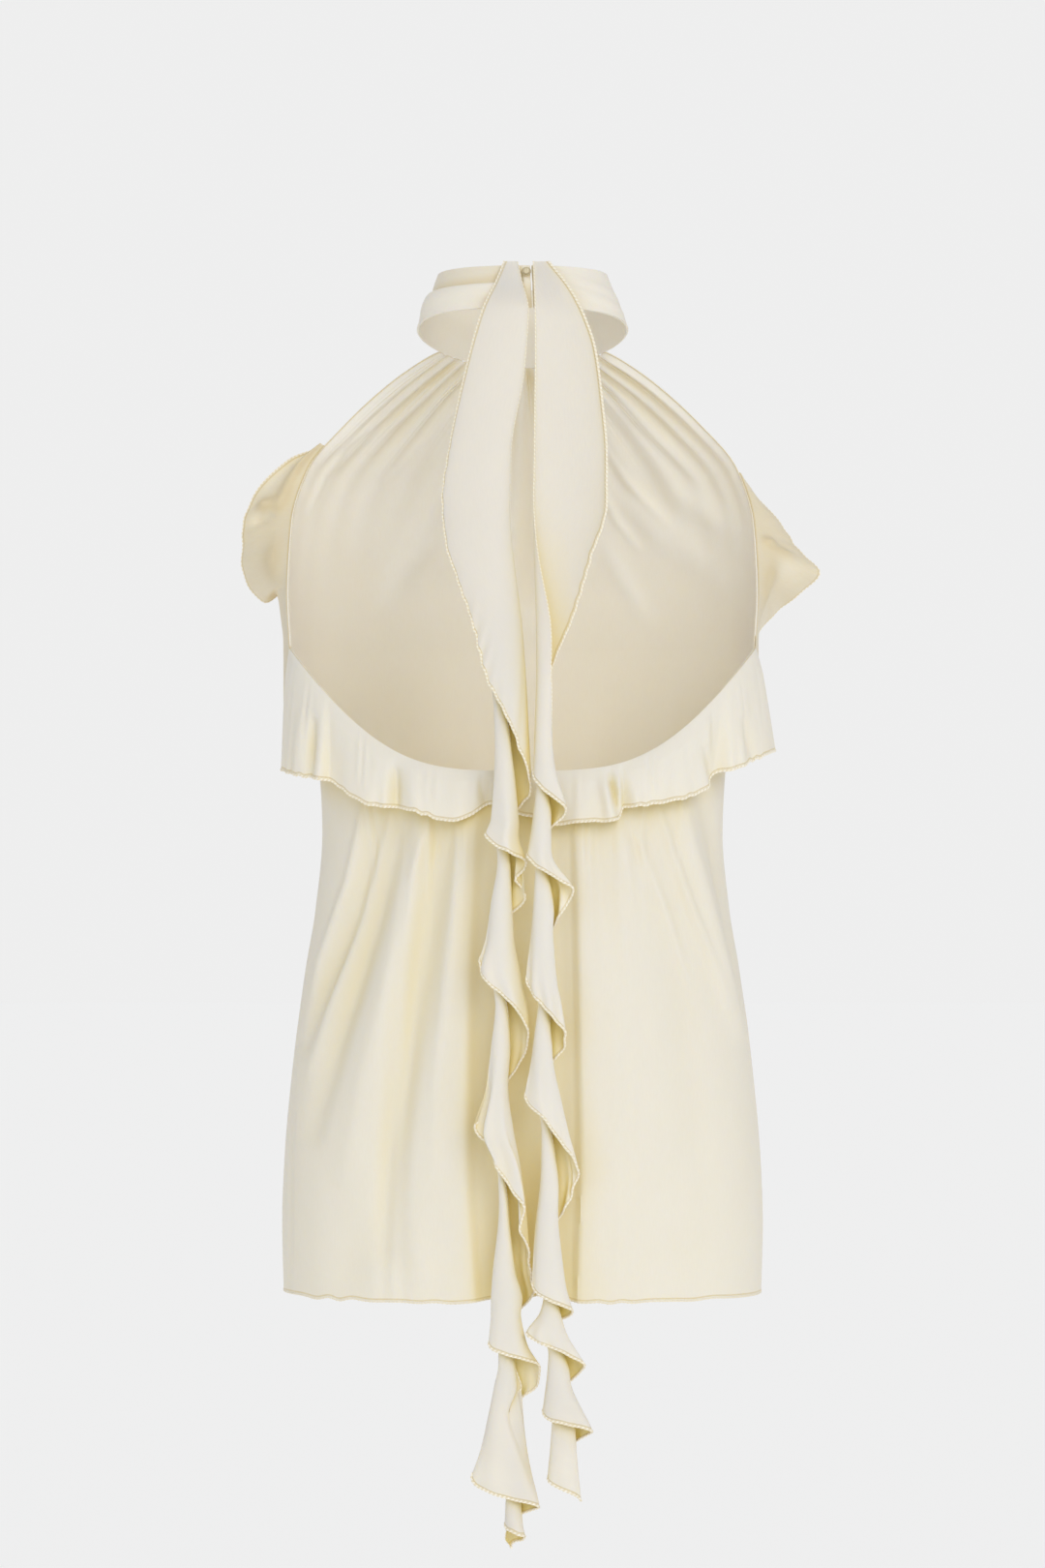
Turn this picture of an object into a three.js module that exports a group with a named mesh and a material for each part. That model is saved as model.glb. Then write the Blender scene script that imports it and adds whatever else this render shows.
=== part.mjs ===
// A halter neck top: gathered front, open back with a flounce, and two long spiral-cut ties.
// Millimetres, +Z up. The wearer faces -Y, so the open back and the ties face +Y.
// The origin is the centre of the neck band, where the neck holds the garment up.
import * as THREE from "three";

// Driving dimensions of the cloth
const CLOTH = 1.4;
const BAND_CLOTH = 1.8;
const TIE_CLOTH = 1.1;
const SEAM_GAP = 0.3;
const NECK_SEAM_DROP = 0.9;
const SIDE_SEAM_CLEAR = 0.5;

// Driving dimensions of the neck band
const BAND_TOP_HALF_WIDTH = 52;
const BAND_TOP_HALF_DEPTH = 44;
const BAND_BOTTOM_HALF_WIDTH = 65;
const BAND_BOTTOM_HALF_DEPTH = 54;
const BAND_BACK_TOP = 24;
const BAND_FRONT_TOP = 17;
const BAND_BACK_BOTTOM = -2.5;
const BAND_FRONT_BOTTOM = -31;
const BAND_SLIT_DEG = -5.5;
const BAND_SLIT_WIDTH_DEG = 0.9;
const NECK_SEAM_DEG = 52;

// Pleats of the band, which close up from the front towards the ties: rise 0 is its lower edge
const BAND_PLEATS = [
  { side: 1, riseAtBack: 0.36, riseAtSide: 0.32, width: 0.2, height: 1.6 },
  { side: 1, riseAtBack: 0.8, riseAtSide: 0.78, width: 0.16, height: 0.8 },
  { side: -1, riseAtBack: 0.62, riseAtSide: 0.2, width: 0.14, height: 1.4 },
  { side: -1, riseAtBack: 0.9, riseAtSide: 0.5, width: 0.14, height: 1.1 },
];

// Driving heights of the body
const UNDERARM = -209;
const BACK_NECK_LOW = -285;
const HEM = -606;
const HEM_LIFT_UNDER_TIES = 5;
const SECTION_POWER = 0.87;
const BACK_EDGE_POWER = 3.7;

// One row for each height of the body below the underarm
const BODY = [
  { z: -209, halfWidth: 143.5, front: 119, back: 74 },
  { z: -250, halfWidth: 133, front: 113, back: 79 },
  { z: -285, halfWidth: 125.5, front: 106, back: 82 },
  { z: -323, halfWidth: 123.7, front: 100, back: 82 },
  { z: -371, halfWidth: 128, front: 102, back: 83 },
  { z: -407, halfWidth: 134, front: 107, back: 85 },
  { z: -467, halfWidth: 142, front: 114, back: 88 },
  { z: -527, halfWidth: 147.3, front: 119, back: 90 },
  { z: -563, halfWidth: 148.6, front: 121, back: 91 },
  { z: -606, halfWidth: 147.6, front: 123, back: 92 },
];

// One row for each section of the front panel above the underarm, from the neck seam down
const FRONT_YOKE = [
  { row: 0, edgeZ: -20.5, centreZ: -31, edgeX: 51.2, edgeY: -33.2, centreY: -54, deg: 52, power: 1 },
  { row: 1, edgeZ: -42, centreZ: -53, edgeX: 83.6, edgeY: -47, centreY: -72, deg: 62, power: 0.97 },
  { row: 2, edgeZ: -67, centreZ: -78, edgeX: 112, edgeY: -57, centreY: -90, deg: 70, power: 0.94 },
  { row: 3, edgeZ: -96, centreZ: -106, edgeX: 135.5, edgeY: -55, centreY: -104, deg: 77, power: 0.91 },
  { row: 4, edgeZ: -130, centreZ: -139, edgeX: 144.6, edgeY: -40, centreY: -114, deg: 83, power: 0.89 },
  { row: 5, edgeZ: -170, centreZ: -174, edgeX: 146, edgeY: -18, centreY: -119, deg: 87, power: 0.87 },
  { row: 6, edgeZ: -209, centreZ: -209, edgeX: 143.5, edgeY: 0, centreY: -119, deg: 90, power: 0.87 },
];

// Gathers where the front meets the neck band
const GATHER_COUNT = 15;
const GATHER_HEIGHT = 1.3;
const GATHER_REACH = 75;
const FOLD_END_HEIGHT = 0.4;

// Folds as soft ridges (height over 0) and troughs, each along its path of [x, z] places
const FRONT_FOLDS = [
  { path: [[58, -28], [128, -85]], width: 7, height: -3 },
  { path: [[27, -28], [52, -84]], width: 6, height: -3 },
  { path: [[35, -82], [68, -138], [87, -175]], width: 8, height: -3.5 },
  { path: [[48, -126], [77, -163]], width: 7, height: -2 },
  { path: [[-52, -31], [-99, -107], [-138, -138]], width: 8, height: -4 },
  { path: [[-50, -59], [-74, -113], [-124, -162]], width: 8, height: -3 },
  { path: [[-54, -101], [-99, -150]], width: 6, height: -2 },
  { path: [[-51, -138], [-80, -188]], width: 6, height: -2 },
  { path: [[-3, -34], [-3, -175]], width: 7, height: 5 },
  { path: [[-14, -300], [-30, -450], [-42, -606]], width: 15, height: 4 },
  { path: [[44, -300], [66, -430], [82, -606]], width: 14, height: 4 },
  { path: [[-86, -310], [-104, -440], [-112, -606]], width: 13, height: 4 },
  { path: [[14, -330], [16, -606]], width: 11, height: -4 },
  { path: [[104, -330], [122, -520]], width: 10, height: -3 },
];
const BACK_FOLDS = [
  { path: [[79, -300], [103, -375], [123, -423], [131, -445]], width: 7, height: -4 },
  { path: [[59, -300], [82, -381], [109, -453], [126, -505]], width: 9, height: -4.5 },
  { path: [[41, -300], [59, -381], [71, -463], [82, -540], [100, -580]], width: 8, height: -3.5 },
  { path: [[33, -300], [41, -381]], width: 6, height: 3 },
  { path: [[22, -300], [24, -450], [21, -606]], width: 8, height: -5 },
  { path: [[-30, -300], [-30, -450], [-28, -606]], width: 8, height: -4 },
  { path: [[-44, -300], [-65, -405]], width: 11, height: -3 },
  { path: [[-94, -300], [-118, -393], [-133, -445]], width: 8, height: 3.5 },
  { path: [[-72, -300], [-96, -430], [-104, -540]], width: 11, height: -2.5 },
];

// Back flounce: a row for each crest or trough of its hem
const BACK_FLOUNCE = [
  { x: 150, hemZ: -274, out: 2 },
  { x: 140, hemZ: -284, out: 4 },
  { x: 128, hemZ: -289, out: 8 },
  { x: 116, hemZ: -293, out: 4 },
  { x: 104, hemZ: -298, out: 9 },
  { x: 90, hemZ: -306, out: 10 },
  { x: 76, hemZ: -311, out: 4 },
  { x: 60, hemZ: -313, out: 10 },
  { x: 38, hemZ: -315.5, out: 9.5 },
  { x: 22, hemZ: -307, out: 3 },
  { x: 10, hemZ: -309, out: 8.5 },
  { x: -6, hemZ: -313, out: 9 },
  { x: -20, hemZ: -314, out: 4 },
  { x: -36, hemZ: -314, out: 9.5 },
  { x: -50, hemZ: -314.5, out: 9 },
  { x: -58, hemZ: -315, out: 2.5 },
  { x: -68, hemZ: -309, out: 10 },
  { x: -84, hemZ: -304, out: 9 },
  { x: -100, hemZ: -298, out: 8 },
  { x: -110, hemZ: -291, out: 3 },
  { x: -122, hemZ: -285, out: 11 },
  { x: -138, hemZ: -277, out: 6 },
  { x: -150, hemZ: -270, out: 12 },
];

// Armhole flounces: hem places down each armhole, from its upper point to the side seam
const LEFT_FLOUNCE = [
  { t: 0, x: 129, y: -61, z: -81 },
  { t: 0.08, x: 147, y: -64, z: -87 },
  { t: 0.17, x: 161, y: -66, z: -98 },
  { t: 0.27, x: 171, y: -67, z: -114 },
  { t: 0.36, x: 178, y: -65, z: -133 },
  { t: 0.45, x: 177, y: -64, z: -147 },
  { t: 0.54, x: 174.5, y: -63, z: -159 },
  { t: 0.62, x: 170, y: -64, z: -170 },
  { t: 0.68, x: 162, y: -68, z: -178 },
  { t: 0.75, x: 153, y: -77, z: -187 },
  { t: 0.83, x: 149, y: -64, z: -212 },
  { t: 0.91, x: 149, y: -38, z: -246 },
  { t: 1, x: 147.5, y: -0.5, z: -274 },
];
const RIGHT_FLOUNCE = [
  { t: 0, x: -137, y: -57, z: -99 },
  { t: 0.2, x: -155, y: -62, z: -120 },
  { t: 0.38, x: -176, y: -65, z: -146 },
  { t: 0.47, x: -187, y: -63, z: -159 },
  { t: 0.55, x: -177, y: -65, z: -171 },
  { t: 0.63, x: -163, y: -67, z: -183 },
  { t: 0.72, x: -152, y: -62, z: -196 },
  { t: 0.82, x: -148, y: -44, z: -218 },
  { t: 0.91, x: -150, y: -24, z: -244 },
  { t: 1, x: -158, y: -0.5, z: -270 },
];
const FLOUNCE_BULGE = 4;
const FLOUNCE_RIPPLE = 1.2;
const LEFT_FLOUNCE_TOP = -80;
const RIGHT_FLOUNCE_TOP = -97;

// Ties. outline: extents at each height, and where the roll's axis lies. leaf: the flat upper
// stretch, where the hem and the inner edge are each placed by angle and height. flutes: the hem
// further down, turning from the wearer's left (0) by the camera side (90) to the right (180).
const LEFT_TIE = {
  outline: [
    { z: 26.5, left: 11, right: 3, axisX: 6, middleY: 44.8, halfDepth: 1 },
    { z: 14, left: 16, right: 0, axisX: 8, middleY: 49.8, halfDepth: 1.5 },
    { z: -4, left: 24.2, right: -4.2, axisX: 9, middleY: 58.5, halfDepth: 2 },
    { z: -40, left: 34.1, right: -2, axisX: 14, middleY: 63, halfDepth: 3 },
    { z: -94, left: 45.1, right: 6, axisX: 22, middleY: 71, halfDepth: 5 },
    { z: -120, left: 48.5, right: 6, axisX: 22, middleY: 74, halfDepth: 6 },
    { z: -147, left: 46.5, right: 4, axisX: 20, middleY: 79, halfDepth: 7 },
    { z: -170, left: 40.2, right: 1, axisX: 18, middleY: 83, halfDepth: 7 },
    { z: -200, left: 31.8, right: -2.5, axisX: 15, middleY: 90, halfDepth: 7 },
    { z: -229, left: 27.8, right: -4, axisX: 13, middleY: 97, halfDepth: 7 },
    { z: -247, left: 22, right: -4.5, axisX: 12, middleY: 101, halfDepth: 7 },
    { z: -285, left: 19.5, right: -5, axisX: 11, middleY: 107, halfDepth: 7 },
    { z: -326, left: 19.7, right: -2, axisX: 11, middleY: 107, halfDepth: 7 },
    { z: -403, left: 24.9, right: -1.5, axisX: 13, middleY: 107, halfDepth: 7 },
    { z: -501, left: 26.7, right: -2.5, axisX: 14, middleY: 107, halfDepth: 7 },
    { z: -583, left: 22, right: -3.5, axisX: 12, middleY: 107, halfDepth: 7 },
    { z: -629, left: 19, right: -7, axisX: 9, middleY: 107, halfDepth: 7 },
    { z: -645, left: 24, right: -11, axisX: 8, middleY: 107, halfDepth: 7 },
    { z: -660, left: 29, right: -9, axisX: 8, middleY: 107, halfDepth: 7 },
    { z: -710, left: 30.5, right: -8, axisX: 8, middleY: 107, halfDepth: 7 },
    { z: -728, left: 20, right: -8.5, axisX: 6, middleY: 107, halfDepth: 6 },
    { z: -739, left: 12, right: -2, axisX: 5, middleY: 107, halfDepth: 5 },
    { z: -752, left: 9, right: -1, axisX: 4, middleY: 107, halfDepth: 4 },
  ],
  leaf: [
    { deg: 0, z: 26.5, innerDeg: 172, innerZ: 26.5, innerRoll: 0.95 },
    { deg: 0, z: -60, innerDeg: 172, innerZ: -50, innerRoll: 0.95 },
    { deg: 2, z: -120, innerDeg: 174, innerZ: -92, innerRoll: 0.93 },
    { deg: 20, z: -170, innerDeg: 177, innerZ: -116, innerRoll: 0.9 },
    { deg: 52, z: -229, innerDeg: 182, innerZ: -136, innerRoll: 0.85 },
    { deg: 117, z: -269, innerDeg: 192, innerZ: -152, innerRoll: 0.8 },
    { deg: 180, z: -296, innerDeg: 212, innerZ: -168, innerRoll: 0.7 },
    { deg: 270, z: -311, innerDeg: 278, innerZ: -192, innerRoll: 0.5 },
    { deg: 360, z: -326, innerDeg: 360, innerZ: -220, innerRoll: 0.35 },
    { deg: 450, z: -334, innerDeg: 450, innerZ: -246, innerRoll: 0.3 },
  ],
  flutes: [
    { deg: 540, z: -341 },
    { deg: 720, z: -403 },
    { deg: 900, z: -449 },
    { deg: 1080, z: -501 },
    { deg: 1260, z: -583 },
    { deg: 1440, z: -629 },
    { deg: 1620, z: -645 },
    { deg: 1800, z: -710 },
    { deg: 1980, z: -728 },
    { deg: 2160, z: -739 },
    { deg: 2300, z: -752 },
  ],
};
const RIGHT_TIE = {
  outline: [
    { z: 26.5, left: -6.4, right: -16, axisX: -10, middleY: 45.1, halfDepth: 1 },
    { z: 8, left: -6.8, right: -29.5, axisX: -16, middleY: 55, halfDepth: 1.5 },
    { z: -10, left: -7, right: -38.3, axisX: -20, middleY: 61, halfDepth: 2 },
    { z: -28, left: -7, right: -44.1, axisX: -22, middleY: 63, halfDepth: 3 },
    { z: -58, left: -6.5, right: -48.1, axisX: -24, middleY: 67, halfDepth: 4 },
    { z: -94, left: -6, right: -51, axisX: -24, middleY: 72, halfDepth: 5 },
    { z: -123, left: -5.3, right: -50.9, axisX: -22, middleY: 76, halfDepth: 6 },
    { z: -153, left: -5.5, right: -44, axisX: -18, middleY: 82, halfDepth: 7 },
    { z: -194, left: -7, right: -37, axisX: -16, middleY: 94, halfDepth: 7 },
    { z: -229, left: -8, right: -26, axisX: -14, middleY: 103, halfDepth: 7 },
    { z: -284, left: -7.5, right: -24, axisX: -12, middleY: 112, halfDepth: 7 },
    { z: -335, left: -5, right: -27.5, axisX: -11, middleY: 113, halfDepth: 7 },
    { z: -412, left: -3.5, right: -26.5, axisX: -10, middleY: 114, halfDepth: 7 },
    { z: -481, left: -3.5, right: -27, axisX: -10, middleY: 114, halfDepth: 7 },
    { z: -526, left: -5, right: -30.1, axisX: -13, middleY: 114, halfDepth: 7 },
    { z: -594, left: -7, right: -29.5, axisX: -15, middleY: 114, halfDepth: 7 },
    { z: -609, left: -6.5, right: -30, axisX: -16, middleY: 114, halfDepth: 7 },
    { z: -623, left: -4.5, right: -36, axisX: -17, middleY: 114, halfDepth: 7 },
    { z: -642, left: -8, right: -37.5, axisX: -19, middleY: 114, halfDepth: 7 },
    { z: -670, left: -12.8, right: -40, axisX: -21, middleY: 114, halfDepth: 7 },
    { z: -681, left: -14, right: -40.5, axisX: -22, middleY: 114, halfDepth: 7 },
    { z: -700, left: -15.5, right: -37, axisX: -23, middleY: 114, halfDepth: 6 },
    { z: -722, left: -18, right: -35.5, axisX: -25, middleY: 114, halfDepth: 4 },
  ],
  leaf: [
    { deg: 180, z: 26.5, innerDeg: 352, innerZ: 26.5, innerRoll: 0.95 },
    { deg: 180, z: -60, innerDeg: 352, innerZ: -55, innerRoll: 0.95 },
    { deg: 182, z: -123, innerDeg: 355, innerZ: -108, innerRoll: 0.93 },
    { deg: 205, z: -153, innerDeg: 372, innerZ: -134, innerRoll: 0.9 },
    { deg: 240, z: -194, innerDeg: 400, innerZ: -165, innerRoll: 0.85 },
    { deg: 275, z: -229, innerDeg: 425, innerZ: -190, innerRoll: 0.8 },
    { deg: 315, z: -260, innerDeg: 446, innerZ: -214, innerRoll: 0.75 },
    { deg: 360, z: -284, innerDeg: 464, innerZ: -234, innerRoll: 0.68 },
    { deg: 450, z: -299, innerDeg: 492, innerZ: -255, innerRoll: 0.5 },
    { deg: 540, z: -313, innerDeg: 545, innerZ: -272, innerRoll: 0.38 },
    { deg: 630, z: -324, innerDeg: 630, innerZ: -280, innerRoll: 0.32 },
  ],
  flutes: [
    { deg: 720, z: -335 },
    { deg: 900, z: -362 },
    { deg: 1080, z: -412 },
    { deg: 1260, z: -446 },
    { deg: 1440, z: -481 },
    { deg: 1620, z: -526 },
    { deg: 1800, z: -594 },
    { deg: 1980, z: -609 },
    { deg: 2160, z: -623 },
    { deg: 2340, z: -642 },
    { deg: 2520, z: -670 },
    { deg: 2700, z: -681 },
    { deg: 2880, z: -708 },
    { deg: 3060, z: -722 },
  ],
};
const FLUTE_OVERLAP = 8;
const FLUTE_INNER_ROLL = 0.3;
const TIE_STEP_DEG = 30;
const TIE_STEP_HEIGHT = 22;
const TIE_COLUMNS = 6;

// Button and its thread loop at the top of the slit
const BUTTON_X = -2.4;
const BUTTON_Z = 19.5;
const BUTTON_RADIUS = 2;
const BUTTON_HEIGHT = 2.4;
const LOOP_RADIUS = 2.6;
const LOOP_THREAD_RADIUS = 0.4;
const BUTTON_STAND_OFF = 0.4;

// Colours
const OUTSIDE_CREAM = 0xe8e2d0;
const FRONT_CREAM = 0xe2dac6;
const TIE_CREAM = 0xe6e0d8;
const BUTTON_CREAM = 0xd8cda6;

const radians = THREE.MathUtils.degToRad;
const lerp = THREE.MathUtils.lerp;
const clamp = THREE.MathUtils.clamp;

// A smooth curve through table rows that never overshoots them
function curve(rows, keyName, valueName) {
  const points = rows
    .map((row) => ({ key: row[keyName], value: row[valueName] }))
    .sort((a, b) => a.key - b.key);
  const last = points.length - 1;
  const rise = (i) =>
    (points[i + 1].value - points[i].value) / (points[i + 1].key - points[i].key);
  const slopes = points.map((point, i) => {
    if (i === 0 || i === last) {
      return 0;
    }
    const before = rise(i - 1);
    const after = rise(i);
    return before * after <= 0 ? 0 : (2 * before * after) / (before + after);
  });
  slopes[0] = rise(0);
  slopes[last] = rise(last - 1);
  return (key) => {
    const place = clamp(key, points[0].key, points[last].key);
    let i = 0;
    while (i < last - 1 && place > points[i + 1].key) {
      i += 1;
    }
    const step = points[i + 1].key - points[i].key;
    const t = (place - points[i].key) / step;
    const t2 = t * t;
    const t3 = t2 * t;
    return (
      (2 * t3 - 3 * t2 + 1) * points[i].value +
      (t3 - 2 * t2 + t) * step * slopes[i] +
      (3 * t2 - 2 * t3) * points[i + 1].value +
      (t3 - t2) * step * slopes[i + 1]
    );
  };
}

// The unit normals of a grid of points, across the rows by along the columns
function gridNormals(grid) {
  const rows = grid.length;
  const columns = grid[0].length;
  return grid.map((line, i) =>
    line.map((point, j) => {
      const across = new THREE.Vector3().subVectors(
        line[Math.min(j + 1, columns - 1)],
        line[Math.max(j - 1, 0)],
      );
      const along = new THREE.Vector3().subVectors(
        grid[Math.min(i + 1, rows - 1)][j],
        grid[Math.max(i - 1, 0)][j],
      );
      return across.cross(along).normalize();
    }),
  );
}

// Moves each grid point along its normal by height(i, j)
function moved(grid, height) {
  const normals = gridNormals(grid);
  return grid.map((line, i) =>
    line.map((point, j) => point.clone().addScaledVector(normals[i][j], height(i, j))),
  );
}

// A closed cloth wall about a grid of points, with its rim closed
function wall(grid, thickness) {
  const rows = grid.length;
  const columns = grid[0].length;
  const normals = gridNormals(grid);
  const positions = [];
  for (const side of [0.5, -0.5]) {
    for (let i = 0; i < rows; i += 1) {
      for (let j = 0; j < columns; j += 1) {
        const point = grid[i][j].clone().addScaledVector(normals[i][j], side * thickness);
        positions.push(point.x, point.y, point.z);
      }
    }
  }
  const outer = (i, j) => i * columns + j;
  const inner = (i, j) => rows * columns + i * columns + j;
  const faces = [];
  const quad = (a, b, c, d) => faces.push(a, b, c, a, c, d);
  for (let i = 0; i < rows - 1; i += 1) {
    for (let j = 0; j < columns - 1; j += 1) {
      quad(outer(i, j), outer(i, j + 1), outer(i + 1, j + 1), outer(i + 1, j));
      quad(inner(i, j), inner(i + 1, j), inner(i + 1, j + 1), inner(i, j + 1));
    }
  }
  for (let i = 0; i < rows - 1; i += 1) {
    quad(inner(i, 0), outer(i, 0), outer(i + 1, 0), inner(i + 1, 0));
    const end = columns - 1;
    quad(outer(i, end), inner(i, end), inner(i + 1, end), outer(i + 1, end));
  }
  for (let j = 0; j < columns - 1; j += 1) {
    quad(outer(0, j), inner(0, j), inner(0, j + 1), outer(0, j + 1));
    const end = rows - 1;
    quad(inner(end, j), outer(end, j), outer(end, j + 1), inner(end, j + 1));
  }
  const geometry = new THREE.BufferGeometry();
  geometry.setAttribute("position", new THREE.Float32BufferAttribute(positions, 3));
  geometry.setIndex(faces);
  geometry.computeVertexNormals();
  return geometry;
}

// A grid of rows by columns, from point(across, along) with both running 0 to 1
function makeGrid(rows, columns, point) {
  return Array.from({ length: rows + 1 }, (_, i) =>
    Array.from({ length: columns + 1 }, (_, j) => point(j / columns, i / rows)),
  );
}

function piece(name, geometry, colour, roughness) {
  const material = new THREE.MeshStandardMaterial({ color: colour, roughness, metalness: 0 });
  const mesh = new THREE.Mesh(geometry, material);
  mesh.name = name;
  return mesh;
}

// How far a place lies from a path, and how far along it, 0 to 1
function pathDistance(path, x, z) {
  let best = { distance: Infinity, along: 0 };
  for (let i = 0; i < path.length - 1; i += 1) {
    const [x0, z0] = path[i];
    const [x1, z1] = path[i + 1];
    const lengthSquared = (x1 - x0) ** 2 + (z1 - z0) ** 2;
    const t = clamp(((x - x0) * (x1 - x0) + (z - z0) * (z1 - z0)) / lengthSquared, 0, 1);
    const distance = Math.hypot(x - lerp(x0, x1, t), z - lerp(z0, z1, t));
    if (distance < best.distance) {
      best = { distance, along: (i + t) / (path.length - 1) };
    }
  }
  return best;
}

// The height of all folds at a place, each one soft at its sides and ends
function foldHeight(folds, x, z) {
  return folds.reduce((sum, fold) => {
    const { distance, along } = pathDistance(fold.path, x, z);
    const fade = lerp(FOLD_END_HEIGHT, 1, Math.sin(Math.PI * along));
    return sum + fold.height * fade * Math.exp(-((distance / fold.width) ** 2));
  }, 0);
}

// Body sections
const halfWidthAt = curve(BODY, "z", "halfWidth");
const frontDepthAt = curve(BODY, "z", "front");
const backDepthAt = curve(BODY, "z", "back");

// A place on the back at angle -90 to 90 degrees from the centre back, positive to +X
function backPoint(angle, z) {
  const across = Math.sign(angle) * Math.abs(Math.sin(angle)) ** SECTION_POWER;
  const depth = Math.abs(Math.cos(angle)) ** SECTION_POWER;
  return new THREE.Vector3(halfWidthAt(z) * across, backDepthAt(z) * depth, z);
}

function backEdgeHeight(angle) {
  const across = Math.abs(Math.sin(angle)) ** SECTION_POWER;
  return lerp(BACK_NECK_LOW, UNDERARM, across ** BACK_EDGE_POWER);
}

// Neck band
function bandPoint(turn, rise) {
  const sunk = ((1 - Math.cos(turn)) / 2) ** 1.6;
  const bottom = new THREE.Vector3(
    BAND_BOTTOM_HALF_WIDTH * Math.sin(turn),
    BAND_BOTTOM_HALF_DEPTH * Math.cos(turn),
    lerp(BAND_BACK_BOTTOM, BAND_FRONT_BOTTOM, sunk),
  );
  const top = new THREE.Vector3(
    BAND_TOP_HALF_WIDTH * Math.sin(turn),
    BAND_TOP_HALF_DEPTH * Math.cos(turn),
    lerp(BAND_BACK_TOP, BAND_FRONT_TOP, sunk),
  );
  return bottom.lerp(top, rise);
}

function bandPleatHeight(turn, rise) {
  const aside = Math.sin(turn);
  const towardsBack = clamp(0.5 + Math.cos(turn), 0, 1);
  return BAND_PLEATS.filter((pleat) => pleat.side * aside > 0).reduce((sum, pleat) => {
    const middle = lerp(pleat.riseAtBack, pleat.riseAtSide, Math.abs(aside));
    const height = pleat.height * Math.min(1, 4 * Math.abs(aside));
    return sum + towardsBack * height * Math.exp(-(((rise - middle) / pleat.width) ** 2));
  }, 0);
}

function neckBand() {
  const start = radians(BAND_SLIT_DEG + BAND_SLIT_WIDTH_DEG / 2);
  const end = radians(BAND_SLIT_DEG - BAND_SLIT_WIDTH_DEG / 2 + 360);
  const rows = 6;
  const columns = 48;
  const turnAt = (across) => lerp(start, end, across);
  const plain = makeGrid(rows, columns, (across, along) => bandPoint(turnAt(across), along));
  const pleated = moved(plain, (i, j) => {
    const edge = Math.sin((Math.PI * i) / rows);
    return -edge * bandPleatHeight(turnAt(j / columns), i / rows);
  });
  return piece("neck_band", wall(pleated, BAND_CLOTH), OUTSIDE_CREAM, 0.6);
}

// Front panel
const YOKE_ROWS = FRONT_YOKE.length - 1;
const yoke = Object.fromEntries(
  ["edgeZ", "centreZ", "edgeX", "edgeY", "centreY", "deg", "power"].map((name) => [
    name,
    curve(FRONT_YOKE, "row", name),
  ]),
);

// A place on the front: across -1 to 1, row 0 at the neck seam, then on past the underarm
function frontPoint(across, row) {
  const upper = Math.min(row, YOKE_ROWS);
  const lowerZ = lerp(UNDERARM, HEM, Math.max(0, row - YOKE_ROWS));
  const power = yoke.power(upper);
  const reach = radians(yoke.deg(upper));
  const angle = Math.abs(across) * reach;
  const side = Math.sin(angle) ** power / Math.sin(reach) ** power;
  const rim = Math.cos(reach) ** power;
  const bulge = (Math.cos(angle) ** power - rim) / (1 - rim);
  if (row > YOKE_ROWS) {
    const x = Math.sign(across) * halfWidthAt(lowerZ) * side;
    return new THREE.Vector3(x, -frontDepthAt(lowerZ) * bulge - SEAM_GAP / 2, lowerZ);
  }
  return new THREE.Vector3(
    Math.sign(across) * yoke.edgeX(upper) * side,
    lerp(yoke.edgeY(upper), yoke.centreY(upper), bulge) - SEAM_GAP / 2,
    lerp(yoke.centreZ(upper), yoke.edgeZ(upper), across ** 2),
  );
}

// The neck row follows the lower edge of the band, just clear of it
function frontGridPoint(across, row) {
  const point = frontPoint(across, row);
  const blend = clamp(1 - row / 0.6, 0, 1);
  const seam = bandPoint(Math.PI - across * radians(NECK_SEAM_DEG), 0);
  seam.z -= NECK_SEAM_DROP + CLOTH / 2;
  return point.lerp(seam, blend ** 2);
}

function frontFoldHeight(point, across) {
  const below = BAND_FRONT_BOTTOM - point.z;
  const gather = GATHER_HEIGHT * Math.exp(-((Math.max(0, below) / GATHER_REACH) ** 2));
  const uneven = 0.75 + 0.25 * Math.cos(9 * across + 1);
  const waves = gather * uneven * Math.cos(Math.PI * GATHER_COUNT * (across + 1));
  const rim = Math.min(1, (1 - Math.abs(across)) * 12);
  return waves + rim * foldHeight(FRONT_FOLDS, point.x, point.z);
}

function frontPanel() {
  const rowPlaces = [0, 0.3, 0.7, 1.2, 1.8, 2.5, 3.3, 4.1, 5, 6, 6.12, 6.27, 6.44, 6.62, 6.81, 7];
  const columns = 60;
  const plain = rowPlaces.map((row) =>
    Array.from({ length: columns + 1 }, (_, j) => frontGridPoint(1 - (2 * j) / columns, row)),
  );
  const folded = moved(plain, (i, j) => frontFoldHeight(plain[i][j], 1 - (2 * j) / columns));
  return piece("front_panel", wall(folded, CLOTH), FRONT_CREAM, 0.6);
}

// Back panel
function hemHeight(x) {
  return HEM + HEM_LIFT_UNDER_TIES * Math.exp(-(((x + 3) / 26) ** 4));
}

function backPanel() {
  const rows = 11;
  const columns = 48;
  const angleAt = (j) => radians(lerp(-89.8, 89.8, j / columns));
  const plain = Array.from({ length: rows + 1 }, (_, i) =>
    Array.from({ length: columns + 1 }, (_, j) => {
      const top = backEdgeHeight(angleAt(j));
      const low = hemHeight(backPoint(angleAt(j), HEM).x);
      return backPoint(angleAt(j), lerp(top, low, (i / rows) ** 1.1));
    }),
  );
  const folded = moved(plain, (i, j) => {
    const point = plain[i][j];
    const rim = Math.min(1, Math.cos(angleAt(j)) * 3) * Math.min(1, i / 2);
    return rim * foldHeight(BACK_FOLDS, point.x, point.z);
  });
  return piece("back_panel", wall(folded, CLOTH), OUTSIDE_CREAM, 0.6);
}

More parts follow.
